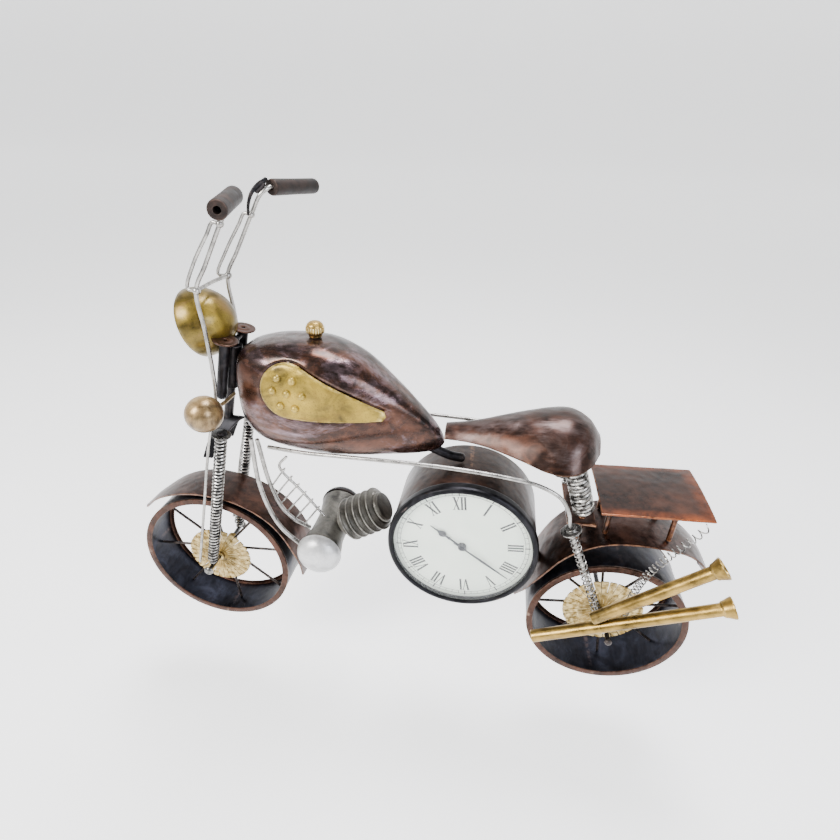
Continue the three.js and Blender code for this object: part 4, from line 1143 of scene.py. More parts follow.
class TINBIKE_OT_handlebar(PieceOperator, bpy.types.Operator):
    """Tall handlebar of bent wire with a second strand, a cross tie, grips and a brake lever"""

    bl_idname = "tin_bike.handlebar"
    bl_label = "Handlebar"

    def build(self):
        wire = sizes().wire
        main = swept([
            on_leg(FRONT_AXLE[2] + 7.5, WIRE_Y) + vec(-7, 0, 0), on_leg(112, WIRE_Y) + vec(-6, 0, 0),
            on_leg(160, WIRE_Y) + vec(-5, 0, 0), vec(LAMP[0] - 1.5, BAR_Y + 1.6, LAMP[2] + 2),
            vec(-242.6, BAR_Y + 0.3, 204), vec(-243.2, BAR_Y, 226), vec(BAR_X, BAR_Y, BAR_HEIGHT),
            vec(-236.5, BAR_Y, 261), vec(-223.5, BAR_Y, 284), vec(-218.6, BAR_Y - 0.4, 291.4),
            GRIP_IN + GRIP_AXIS * 2, GRIP_IN + GRIP_AXIS * 6, GRIP_IN + GRIP_AXIS * 22], wire, 16, 1.4,
            lambda s: 0.74 + 0.26 * min(1.0, max(0.0, (s - 0.42) / 0.12)))
        strand = swept([vec(BAR_X, BAR_Y, BAR_HEIGHT), vec(BAR_X - 5.2, BAR_Y - 1, BAR_HEIGHT + 0.6),
                        vec(-243, BAR_Y, 261), vec(-233, BAR_Y, 276), vec(-229, BAR_Y, 281.8),
                        vec(-225.4, BAR_Y, 281)], 0.95, 14)
        blob = ball(2.0, vec(-225.2, BAR_Y, 281.2), 10, 16)
        knot = ball(2.1, vec(BAR_X + 0.3, BAR_Y, BAR_HEIGHT), 10, 16)
        half = merged(main, strand, blob, knot)
        tie = swept([vec(BAR_X, -BAR_Y + 1.6, BAR_HEIGHT), vec(BAR_X - 0.4, 0, BAR_HEIGHT + 0.3),
                     vec(BAR_X, BAR_Y, BAR_HEIGHT)], 1.1, 14)
        add("bar_wire_right", "fork", finish("steel"), merged(half, tie),
            ("handlebar_right",))
        add("bar_wire_left", "fork", finish("steel"), mirrored(half), ("handlebar_left",))
        grip = soften([(1.5, 0), (3.9, 0), (4.25, 1.0), (4.15, 18), (4.2, 36.8), (3.9, 38), (1.6, 38),
                       (1.5, 37), (1.5, 34), (2.1, 30), (2.1, 4)], 0.35, True)
        shape = aim(turned(grip, 56, True), GRIP_AXIS, GRIP_IN + GRIP_AXIS * 3.6)
        add("grip_tube_right", "fork", finish("grip"), shape, ("grip_right",))
        add("grip_tube_left", "fork", finish("grip"), mirrored(shape), ("grip_left",))
        lever = [vec(-224.9, 12.9, 281.5), vec(-224.2, 13.1, 287), vec(-222.2, 14.2, 292.4),
                 vec(-219, 16.6, 296.4), vec(-216.6, 18.9, 298), vec(-215.9, 20, 298.6)]
        web = [vec(-220.6, 15.9, 293.2), vec(-218.6, 17.3, 294.6), vec(-217.2, 18.7, 296.6)]
        add("brake_lever_bar", "fork", finish("black"),
            merged(swept(lever, 1.25, 16, 0.8, lambda s: 0.55 + 0.5 * s),
                   swept(web, 1.5, 14, 0.6)), ("brake_lever",))


# ------------------------------------------------------------------ lamps
HEAD_AT = vec(-256.3, 0, 224)
HEAD_DIP = math.radians(18)
HEAD_AXIS = vec(-math.cos(HEAD_DIP), 0, -math.sin(HEAD_DIP))
HEAD_RADIUS, HEAD_DEPTH = 19.8, 22.0


class TINBIKE_OT_lamps(PieceOperator, bpy.types.Operator):
    """Headlight bowl with its flat face, and two ball lamps on stubs"""

    bl_idname = "tin_bike.lamps"
    bl_label = "Lamps"

    def build(self):
        line = [(HEAD_RADIUS * math.sin(a) ** 1.12, -HEAD_DEPTH * math.cos(a))
                for a in np.linspace(0, math.pi / 2, 22)]
        line[0] = (0, -HEAD_DEPTH)
        inner = [(r * 0.95, y * 0.95) for r, y in reversed(line)]
        inner[-1] = (0, inner[-1][1])
        rim = [(HEAD_RADIUS - 0.05, 0.1), (HEAD_RADIUS - 0.3, 0.3), (HEAD_RADIUS - 0.7, 0.1)]
        bowl = aim(turned(line + rim + inner, 80), HEAD_AXIS, HEAD_AT)
        add("headlight_shell", "fork", finish("bowl"), bowl, ("headlight_bowl",))
        face = soften([(0, -1.4), (17.6, -1.4), (18.4, -0.2), (17.6, 0.25), (16.6, 0.3), (15.4, 0.55),
                       (8, 1.35), (0, 1.7)], 0.4)
        add("headlight_face", "fork", finish("bowl"),
            aim(turned(face, 80), HEAD_AXIS, HEAD_AT), ("headlight_lens",))
        globe = ball(10.25, LAMP, 40, 56)
        seam = shifted(turned(soften([(10.15, -0.35), (10.3, -0.2), (10.3, 0.2), (10.15, 0.35),
                                      (9.7, 0.3), (9.7, -0.3)], 0.1, True), 56, True), LAMP)
        stub = swept([vec(LAMP[0] + 3, 5.6, LAMP[2] - 1), vec(LAMP[0] + 3, 16, LAMP[2] - 1),
                      vec(LAMP[0] + 2.4, 27, LAMP[2] - 0.5)], 1.1, 16)
        lamp = merged(globe, seam, stub)
        add("ball_lamp_right", "fork", finish("lamp"), lamp, ("lamp_right",))
        add("ball_lamp_left", "fork", finish("lamp"), mirrored(lamp), ("lamp_left",))


# ------------------------------------------------------------------ fenders
SPRING_FOOT = 133.6


FENDER_STEPS = 400


def fender_surface(points, half, crown):
    """Surface that follows points along the bike, half wide to each side and domed by crown."""
    path = curve([vec(x, 0, z) for x, z in points], FENDER_STEPS)
    ahead = np.gradient(path, axis=0)
    ahead /= np.linalg.norm(ahead, axis=1)[:, None]

    def at(u, v):
        k = u * (FENDER_STEPS - 1)
        i = min(int(k), FENDER_STEPS - 2)
        t = k - i
        spot_at = path[i] * (1 - t) + path[i + 1] * t
        way = ahead[i] * (1 - t) + ahead[i + 1] * t
        side = v * 2 - 1
        out = vec(-way[2], 0, way[0])
        return spot_at + out * crown * (1 - side * side) + vec(0, side * half(u), 0)
    return at


class TINBIKE_OT_fenders(PieceOperator, bpy.types.Operator):
    """Curved fenders of beaten copper sheet"""

    bl_idname = "tin_bike.fenders"
    bl_label = "Fenders"

    def build(self):
        x, z = FRONT_AXLE[0], FRONT_AXLE[2]
        path = [(x + a, z + b) for a, b in (
            (-54, 29), (-41, 41.5), (-27, 50.5), (-13, 55.4), (0, 56.6), (17, 54.5), (33, 48),
            (47, 36.5), (56, 22), (60.5, 7), (60.5, -8))]
        half = profile([(0, 1.5), (0.12, 8), (0.22, 12.5), (0.34, 14.6), (0.5, 14.6), (0.7, 14.6),
                        (0.85, 14.6), (1, 9)])
        self.fender("front_fender_sheet", "fork", path, half, "front_fender", 1.0)
        path = [(-56.5, 49), (-51.5, 66), (-44.5, 84), (-33, 103.5), (-16, 115.5), (4, 119.3), (24, 117),
                (38.5, 110.2), (48, 101), (52, 90)]
        half = profile([(0, 2.5), (0.1, 12), (0.22, 18.5), (0.36, 21), (0.55, 21), (0.72, 20),
                        (0.84, 15), (0.93, 12), (1, 5)])
        self.fender("rear_fender_sheet", "frame", path, half, "rear_fender", 7.0)

    def fender(self, name, body, path, half, node, seed):
        """One beaten fender sheet along a path."""
        mark = dents(sizes().hammer, HAMMER_DEPTH, seed)
        shape = sheet(fender_surface(path, half, 0.8), 150, 40, 1.15, mark)
        mesh = bevelled(name, shape, 0.4, 50)
        if body == "frame":
            mesh = joined(mesh, self.shelf())
        add(name, body, finish("copper"), mesh, (node,))

    def shelf(self):
        """Shelf that the seat springs stand on, its posts, and the stub to the drum."""
        top = SPRING_FOOT - 2.5
        deck = bevelled("shelf", sheet(lambda u, v: vec(-37 + 16.5 * v, -19.5 + 39 * u, top - 1.4),
                                       16, 8, 1.4, dents(4, 0.08)), 0.4)
        posts = [swept([vec(-28, y, 113.5), vec(-28, y, 121), vec(-28, y, top - 1)], 2.0, 20)
                 for y in (-13, 13)]
        stub = swept([vec(-54.5, 0, 84), vec(-50, 0, 84), vec(-46, 0, 84)], 2.9, 24)
        return joined(deck, to_mesh("posts", merged(*posts, stub)))


# ------------------------------------------------------------------ clock
CLOCK = vec(-95.4, 0, 105)
CASE, BEZEL, SIGHT = 44.4, 45.4, 42.1
BEZEL_FRONT, DIAL_FRONT = -28.4, -23.7
MOVEMENT_BACK = DIAL_FRONT + 0.8 + GAP + 16
TILT = -6.5
HOUR_SHOWN, MINUTE_SHOWN = 310.9, 130.9


def turned_hand(shape, degrees):
    """Turns a shape drawn pointing up clockwise, as seen from the dial side, and puts it on the clock."""
    a = math.radians(degrees)
    turn = np.array([[math.cos(a), 0, math.sin(a)], [0, 1, 0], [-math.sin(a), 0, math.cos(a)]])
    return shape[0] @ turn.T + CLOCK, shape[1]


class TINBIKE_OT_clock_case(PieceOperator, bpy.types.Operator):
    """Copper drum, black bezel and flat crystal"""

    bl_idname = "tin_bike.clock_case"
    bl_label = "Clock case"

    def build(self):
        drum = soften([(CASE - 1.2, -21), (CASE, -21), (CASE, 21), (CASE - 1.2, 21)], 0.35, True)
        add("drum", "frame", finish("drum"),
            shifted(turned(drum, 160, True), CLOCK), ("clock_case",))
        skirt = CASE - 1.2 - GAP
        ring = soften([
            (SIGHT - 0.6, BEZEL_FRONT + 1.3), (SIGHT - 0.1, BEZEL_FRONT + 0.35),
            (SIGHT + 0.7, BEZEL_FRONT + 0.05), (BEZEL - 1.6, BEZEL_FRONT + 0.2),
            (BEZEL - 0.5, BEZEL_FRONT + 0.9), (BEZEL, BEZEL_FRONT + 2.4), (BEZEL, -22.2),
            (BEZEL - 0.4, -21.3), (skirt, -21.3), (skirt, -14), (40.1, -14), (40.1, -16), (42.6, -16),
            (42.6, BEZEL_FRONT + 1.3)], 0.25, True)
        add("bezel_ring", "frame", finish("black"),
            shifted(turned(ring, 160, True), CLOCK), ("clock_bezel",))
        front = BEZEL_FRONT + 1.6
        crystal = soften([(0, front), (42.2, front), (42.2, front + 1), (0, front + 1)], 0.15)
        add("crystal", "frame", finish("glass"),
            shifted(turned(crystal, 128), CLOCK), ("clock_glass",))


class TINBIKE_OT_dial(PieceOperator, bpy.types.Operator):
    """White dial with Roman hour numerals and a double minute track"""

    bl_idname = "tin_bike.dial"
    bl_label = "Dial"

    numerals = ("XII", "I", "II", "III", "IIII", "V", "VI", "VII", "VIII", "IX", "X", "XI")
    height, middle = 9.3, 31.9
    raised = 0.05

    def build(self):
        disc = soften([(2.5, DIAL_FRONT), (42.3, DIAL_FRONT), (42.3, DIAL_FRONT + 0.8),
                       (2.5, DIAL_FRONT + 0.8)], 0.1, True)
        add("dial_plate", "frame", finish("dial"),
            shifted(turned(disc, 128, True), CLOCK), ("clock_dial",))
        marks = []
        for hour, word in enumerate(self.numerals):
            marks += [turned_hand(mark, hour * 30 + TILT) for mark in self.word(word)]
        ink = to_mesh("numerals", merged(*marks))
        front = DIAL_FRONT - self.raised
        rings = [shifted(turned([(r - 0.11, front), (r + 0.11, front), (r + 0.11, DIAL_FRONT + 0.02),
                                 (r - 0.11, DIAL_FRONT + 0.02)], 120, True), CLOCK)
                 for r in (37.8, 39.9)]
        circles = to_mesh("track", merged(*rings))
        tick = turned_hand(self.bar(-0.13, 0.13, 37.8, 39.9), TILT)
        ticks = ring_of("ticks", tick, 60, CLOCK, finish("ink"))
        five = turned_hand(self.bar(-0.34, 0.34, 37.3, 40.7), TILT)
        fives = ring_of("fives", five, 12, CLOCK, finish("ink"))
        add("dial_print", "frame", finish("ink"), joined(ink, circles, ticks, fives))

    def bar(self, x0, x1, z0, z1, x2=None, x3=None):
        """Ink bar from z0 to z1; x2 and x3 are its sides at the top where it leans."""
        x2, x3 = (x0 if x2 is None else x2), (x1 if x3 is None else x3)
        return shifted(plate([(x0, z0), (x1, z0), (x3, z1), (x2, z1)], self.raised + 0.02),
                       vec(0, DIAL_FRONT - self.raised, 0))

    def word(self, letters):
        low, high = self.middle - self.height / 2, self.middle + self.height / 2
        widths = {"I": 1.95, "V": 4.7, "X": 4.5}
        left = -sum(widths[c] for c in letters) / 2
        bars = []
        for c in letters:
            w = widths[c]
            x = left + w / 2
            if c == "I":
                bars.append(self.bar(x - 0.58, x + 0.58, low, high))
                feet = [x]
            elif c == "V":
                bars.append(self.bar(x - 0.45, x + 0.45, low, high, x - w / 2 + 0.3, x - w / 2 + 1.55))
                bars.append(self.bar(x - 0.15, x + 0.25, low, high, x + w / 2 - 0.85, x + w / 2 - 0.4))
                feet = [x - w / 2 + 0.85, x + w / 2 - 0.55]
            else:
                bars.append(self.bar(x + w / 2 - 1.55, x + w / 2 - 0.3, low, high,
                                     x - w / 2 + 0.3, x - w / 2 + 1.55))
                bars.append(self.bar(x - w / 2 + 0.4, x - w / 2 + 0.85, low, high,
                                     x + w / 2 - 0.85, x + w / 2 - 0.4))
                feet = [x - w / 2 + 0.8, x + w / 2 - 0.8]
            for foot in feet:
                bars.append(self.bar(foot - 0.85, foot + 0.85, high - 0.25, high))
                if c != "V":
                    bars.append(self.bar(foot - 0.85, foot + 0.85, low, low + 0.25))
            left += w
        return bars


class TINBIKE_OT_hands(PieceOperator, bpy.types.Operator):
    """Spade hour hand and tapered minute hand"""

    bl_idname = "tin_bike.hands"
    bl_label = "Hands"

    def build(self):
        spade = [(0.45, 2.0), (0.5, 9.2), (1.1, 10.0), (0.55, 10.8), (0.6, 12.6), (1.7, 13.4), (2.25, 14.7),
                 (2.05, 16.0), (1.2, 17.0), (0.6, 18.0), (0.4, 19.6), (0.16, 24.0)]
        lance = [(0.4, 2.0), (0.5, 8.0), (0.72, 16.0), (0.5, 25.0), (0.18, 35.5)]
        for name, side, front, shown in (
                ("hour_hand", spade, DIAL_FRONT - 1.3, HOUR_SHOWN),
                ("minute_hand", lance, DIAL_FRONT - 2.0, MINUTE_SHOWN)):
            tail = 3.0 if name == "hour_hand" else 6.0
            outline = [(0.7, -tail), (0.75, -tail + 0.6), (0.45, -1.6)] + side
            outline = outline + [(-x, z) for x, z in reversed(outline)]
            blade = shifted(plate(outline, 0.35), vec(0, front, 0))
            boss = turned(soften([(0, front - 0.02), (2.35, front - 0.02), (2.35, front + 0.37),
                                  (0, front + 0.37)], 0.1), 40)
            shape = turned_hand(merged(blade, boss), shown + TILT)
            if name == "minute_hand":
                pin = turned(soften([(0, front - 0.55), (1.1, front - 0.5), (1.3, front), (0, front)],
                                    0.1), 32)
                shape = merged(shape, shifted(pin, CLOCK))
            add(name + "_blade", name, finish("hand"), shape, (name,))


class TINBIKE_OT_movement(PieceOperator, bpy.types.Operator):
    """Black clock movement with its cell and setting knob, seen from behind"""

    bl_idname = "tin_bike.movement"
    bl_label = "Movement"

    def build(self):
        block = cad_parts["clock_movement"].data.copy()
        work = bmesh.new()
        work.from_mesh(block)
        bmesh.ops.remove_doubles(work, verts=work.verts, dist=1e-6)
        bmesh.ops.dissolve_limit(work, angle_limit=math.radians(1), verts=work.verts, edges=work.edges)
        work.to_mesh(block)
        work.free()
        block.materials.clear()
        smooth(block, 30)
        details = []
        for x in (-20, 20):
            for z in (14, 22):
                details.append(aim(turned(soften([(0, -0.1), (2.4, -0.1), (2.4, 0.5), (1.2, 0.7),
                                                  (0, 0.7)], 0.2), 28), Y_AXIS,
                                   CLOCK + vec(x, MOVEMENT_BACK, z)))
        slots = self.vents()
        add("movement_block", "frame", finish("plastic"),
            joined(block, to_mesh("screws", merged(*details)), slots), ("clock_movement",))
        cell = soften([(0, 0), (6.4, 0), (7.2, 0.5), (7.2, 45.6), (6.6, 46.5), (2.6, 46.5), (2.6, 48),
                       (0, 48)], 0.25)
        add("clock_cell", "frame", finish("battery"),
            aim(turned(cell, 48), X_AXIS, CLOCK + vec(-24, MOVEMENT_BACK - 5.2, -18)),
            ("clock_battery",))
        centre = CLOCK + vec(14, MOVEMENT_BACK, 12)
        knob = soften([(0, 0.35), (3, 0.35), (3, 2), (6.1, 2), (6.1, 5.3), (5.2, 5.5), (4.8, 4.9),
                       (0, 4.9)], 0.25)
        body = to_mesh("knob", aim(turned(knob, 56), Y_AXIS, centre))
        rib = swept([centre + vec(6.05, 2.3, 0), centre + vec(6.05, 3.6, 0), centre + vec(6.05, 5.0, 0)],
                    0.4, 8)
        ribs = ring_of("knob_ribs", rib, 28, centre, finish("plastic"))
        add("knob_wheel", "setting_knob", finish("plastic"), joined(body, ribs),
            ("setting_knob",))

    def vents(self):
        """Raised bars moulded on the back of the movement."""
        bar = swept([CLOCK + vec(-18, MOVEMENT_BACK + 0.1, 4), CLOCK + vec(-12, MOVEMENT_BACK + 0.1, 4),
                     CLOCK + vec(-4, MOVEMENT_BACK + 0.1, 4)], 0.6, 10)
        return grown("vents", to_mesh("vents", bar), row_tree, count=5, step=(0, 0, 0.0026),
                     material=finish("plastic"))


# ------------------------------------------------------------------ frame
SEAT_SPRING_TOP = 172.0
RAIL_Y = 29.0
SHOCK_TOP, SHOCK_FOOT = vec(-36.6, RAIL_Y, 133.5), vec(-3.6, RAIL_Y, REAR_AXLE[2] + 5)


class TINBIKE_OT_frame(PieceOperator, bpy.types.Operator):
    """Backbone, head tube, side rails, rear shocks, seat springs and down tubes"""

    bl_idname = "tin_bike.frame"
    bl_label = "Frame"

    def build(self):
        self.backbone()
        self.rails()
        self.seat_springs()
        self.down_tubes()

    def backbone(self):
        """Tube from the steering head to the drum."""
        over = CLOCK[2] + CASE + 3.1
        bar = swept([on_fork(200) + vec(3.5, 0, 0), vec(-212, 0, 190), vec(-180, 0, 172),
                     vec(-150, 0, 163.5), vec(-125, 0, over + 7), vec(CLOCK[0] - 12, 0, over + 0.9),
                     vec(CLOCK[0] - 5, 0, over + 0.3)], 2.8, 24)
        low, high = on_fork(TUBE_END + 3.5), on_fork(YOKE_HEIGHT - 5)
        reach = np.linalg.norm(high - low)
        head = aim(turned(soften([(3.25, 0), (5, 0), (5, reach), (3.25, reach)], 0.4, True), 48, True),
                   STEER, low)
        add("backbone_bar", "frame", finish("black"), merged(bar, head), ("backbone",))

    def rails(self):
        """Side wires and the rear shock springs round their ends."""
        points = [vec(-214, 20, 158), vec(-190, 25.5, 160.5), vec(-164, 28.5, 163), vec(-111, RAIL_Y, 164),
                  vec(-75, RAIL_Y, 162), vec(-57, RAIL_Y, 159), vec(-44.5, RAIL_Y, 152.3),
                  vec(-39, RAIL_Y, 143), SHOCK_TOP, vec(-20, RAIL_Y, 94.5), SHOCK_FOOT]
        rail = swept(points, sizes().wire, 18)
        axis = unit(SHOCK_TOP - SHOCK_FOOT)
        start = SHOCK_FOOT + axis * 2
        length = np.linalg.norm(SHOCK_TOP - axis * 2 - SHOCK_FOOT) - 3
        washer = soften([(2.1, length + 0.4), (5.6, length + 0.5), (6, length + 1.0), (5.6, length + 1.5),
                         (3.6, length + 1.8), (3.1, length + 3.2), (2.1, length + 3.2)], 0.3, True)
        disc = aim(turned(washer, 48, True), axis, start)
        for side, flip in DRAWN_RIGHT:
            wire = rail if side == "right" else mirrored(rail)
            add("rail_wire_" + side, "frame", finish("steel"), wire, ("rail_" + side,))
            spring = coil("shock_" + side, [start * flip, (start + axis * length) * flip],
                          sizes().shock_turns, 2.9, 0.42, finish("spring"))
            cap = to_mesh("cap", disc if side == "right" else mirrored(disc))
            add("shock_spring_" + side, "frame", finish("spring"), joined(spring, cap),
                ("shock_" + side,))

    def seat_springs(self):
        """The two coils under the seat."""
        low, high = vec(-27.5, -13, SPRING_FOOT), vec(-40.5, -13, SEAT_SPRING_TOP)
        axis = unit(high - low)
        for side, flip in DRAWN_LEFT:
            mesh = coil("seat_coil_" + side, [(low + axis * 0.9) * flip, (high - axis) * flip],
                        sizes().seat_turns, 6.3, 0.85, finish("spring"), detail=28)
            add("seat_coil_" + side, "frame", finish("spring"), mesh,
                ("seat_spring_" + side,))

    def down_tubes(self):
        """Bent wires from the steering head to the engine, with the ladder beside one of them."""
        left = [vec(-227, -15, 159), vec(-225.5, -16, 127.5), vec(-220.5, -16, 106),
                vec(-213.5, -16, 92), vec(-203.5, -16.5, 82.5), vec(-200.5, -17, 80.5)]
        right = [vec(-228, -6, 153), vec(-224.5, -4, 119), vec(-218.5, -4, 100.5), vec(-210.5, -4, 91),
                 vec(-199.5, -4, 85.5)]
        add("down_wire_left", "frame", finish("steel"), swept(left, 1.4, 16),
            ("down_tube_left",))
        top, foot = vec(-216, -5, 134), vec(-188.5, -5, 98.2)
        parts = [swept(right, 1.4, 16),
                 swept([vec(-210.5, -5, 142), top, (top + foot) / 2, foot], 0.9, 12)]
        lower = curve(right[1:], 200)
        count = sizes().rungs
        for i in range(count):
            t = (i + 0.4) / count
            a, b = lower[int(t * 199)], top + (foot - top) * (t * 0.92 + 0.02)
            b = b + unit(b - a) * 2.4
            parts.append(swept([a, (a + b) / 2, b], 0.6, 10))
            parts.append(ball(1.05, b - unit(b - a) * 2.2, 6, 10))
        add("down_wire_right", "frame", finish("steel"), merged(*parts),
            ("down_tube_right",))


# ------------------------------------------------------------------ engine
ENGINE = vec(-186, 0, 84.5)
BARREL_AXIS = vec(math.cos(math.radians(33)), 0, math.sin(math.radians(33)))
DOME = 14.4


class TINBIKE_OT_engine(PieceOperator, bpy.types.Operator):
    """Waisted crankcase with a dome on each side and a cylinder of stacked cups"""

    bl_idname = "tin_bike.engine"
    bl_label = "Engine"

    def build(self):
        case = soften([(0, -24), (13.6, -24), (13.8, -23.2), (11.3, -10), (11.2, 0), (11.3, 10),
                       (13.8, 23.2), (13.6, 24), (0, 24)], 0.8)
        add("engine_case", "frame", finish("engine"), shifted(turned(case, 72), ENGINE),
            ("crankcase",))
        line = [(0, 24.35), (DOME - 0.3, 24.35), (DOME, 24.8)]
        for a in np.linspace(0.12, math.pi / 2, 16)[:-1]:
            line.append((DOME * math.cos(a) ** 0.9, 24.9 + 9.5 * math.sin(a)))
        line.append((0, 34.4))
        dome = shifted(turned(line, 80), ENGINE)
        add("dome_cap_right", "frame", finish("black"), dome, ("dome_right",))
        add("dome_cap_left", "frame", finish("silver"), mirrored(dome), ("dome_left",))
        core = soften([(0, 12.2), (9.3, 12.2), (10.2, 17), (10.2, 43.5), (9, 44.9), (0, 44.9)], 0.4)
        body = to_mesh("barrel_core", aim(turned(core, 64), BARREL_AXIS, ENGINE))
        cup = soften([(9.8, 17.1), (10.6, 17), (13.9, 17.2), (14.4, 17.7), (14.35, 18.5), (13.2, 18.9),
                      (11.2, 20.6), (9.8, 20.9)], 0.35, True)
        pitch = 5.4 * 5 / sizes().fins
        cups = grown("barrel_cups", to_mesh("cup", aim(turned(cup, 72, True), BARREL_AXIS, ENGINE)),
                     row_tree, count=sizes().fins, step=tuple(BARREL_AXIS * pitch * MM),
                     material=finish("engine"))
        add("cylinder", "frame", finish("engine"), joined(body, cups), ("engine_barrel",))


# ------------------------------------------------------------------ tank
TANK_FRONT, TANK_BACK, TANK_HALF, TANK_BLUNT = -234.0, -112.0, 26.0, 26
TANK_JOINT = 160.6
tank_top = profile([(0, 213), (0.05, 215.5), (0.12, 218.3), (0.2, 220.3), (0.32, 221.4), (0.42, 220.8),
                    (0.52, 217.4), (0.62, 211.4), (0.74, 199.6), (0.85, 187.4), (0.93, 177.5), (1, 168)])
tank_bottom = profile([(0, 170), (0.06, 163), (0.14, 157), (0.25, 154), (0.4, 152.3), (0.6, 152.3),
                       (0.8, 154), (0.92, 156), (1, 158.5)])
tank_wide = profile([(0, 0.5), (0.05, 0.74), (0.12, 0.87), (0.22, 0.96), (0.36, 1), (0.48, 0.96),
                     (0.62, 0.79), (0.76, 0.57), (0.88, 0.36), (1, 0.14)])
DROP_HEAD, DROP_RADIUS, DROP_TIP, TIP_RADIUS = (-196.5, 198.0), 15.6, (-147.4, 184.6), 3.4


def tank_section(s):
    """Half width, middle height and the heights above and below it, at s from nose to tail."""
    end = math.sqrt(max(0.0, 1 - abs(s * 2 - 1) ** TANK_BLUNT))
    top, bottom = tank_top(s), tank_bottom(s)
    middle = bottom + (top - bottom) * 0.47
    return tank_wide(s) * TANK_HALF * end, middle, (top - middle) * end, (middle - bottom) * end


def tank_side(x, z):
    """Half width of the tank at a place on its side."""
    wide, middle, up, down = tank_section((x - TANK_FRONT) / (TANK_BACK - TANK_FRONT))
    if z >= middle:
        n = min(1.0, (z - middle) / up) ** (1 / 0.6)
    else:
        n = min(1.0, (middle - z) / down) ** (1 / 0.8)
    return wide * math.sqrt(max(0.0, 1 - n * n)) ** 0.68


def drop_gap(x, z):
    """Distance of a point outside the panel's outline, a big circle and a small one drawn together."""
    dx, dz = DROP_TIP[0] - DROP_HEAD[0], DROP_TIP[1] - DROP_HEAD[1]
    reach = math.hypot(dx, dz)
    ahead = ((x - DROP_HEAD[0]) * dx + (z - DROP_HEAD[1]) * dz) / reach
    aside = abs((x - DROP_HEAD[0]) * dz - (z - DROP_HEAD[1]) * dx) / reach
    slope = (DROP_RADIUS - TIP_RADIUS) / reach
    level = math.sqrt(1 - slope * slope)
    along = ahead * level - aside * slope
    if along < 0:
        return math.hypot(ahead, aside) - DROP_RADIUS
    if along > level * reach:
        return math.hypot(ahead - reach, aside) - TIP_RADIUS
    return aside * level + ahead * slope - DROP_RADIUS


def drop_reach(angle):
    """Distance from the panel's head centre to its edge, in a direction."""
    low, high = 0.0, 80.0
    for _ in range(22):
        mid = (low + high) / 2
        if drop_gap(DROP_HEAD[0] + mid * math.cos(angle), DROP_HEAD[1] + mid * math.sin(angle)) < 0:
            low = mid
        else:
            high = mid
    return low


DROP_EDGES = [drop_reach(2 * math.pi * k / 720) for k in range(721)]


def drop_edge(angle):
    """Edge distance from the ready-made list."""
    k = (angle % (2 * math.pi)) / (2 * math.pi) * 720
    i = int(k)
    return DROP_EDGES[i] + (DROP_EDGES[min(i + 1, 720)] - DROP_EDGES[i]) * (k - i)


def drop_depth(x, z):
    """How far a point is inside the panel's outline, as a share of the edge distance."""
    dx, dz = x - DROP_HEAD[0], z - DROP_HEAD[1]
    return 1 - math.hypot(dx, dz) / drop_edge(math.atan2(dz, dx))


def halved(shape, height, upper):
    """Closed mesh of the part of a shape above or below a height."""
    mesh = to_mesh("half", shape)
    work = bmesh.new()
    work.from_mesh(mesh)
    level = height + (0.05 if upper else -0.05)
    cut = bmesh.ops.bisect_plane(work, geom=work.verts[:] + work.edges[:] + work.faces[:],
                                 plane_co=(0, 0, level * MM), plane_no=(0, 0, 1), dist=1e-7,
                                 clear_outer=not upper, clear_inner=upper)
    rim = [e for e in cut["geom_cut"] if isinstance(e, bmesh.types.BMEdge)]
    bmesh.ops.contextual_create(work, geom=rim)
    bmesh.ops.recalc_face_normals(work, faces=work.faces)
    work.to_mesh(mesh)
    work.free()
    smooth(mesh, 35)
    return mesh


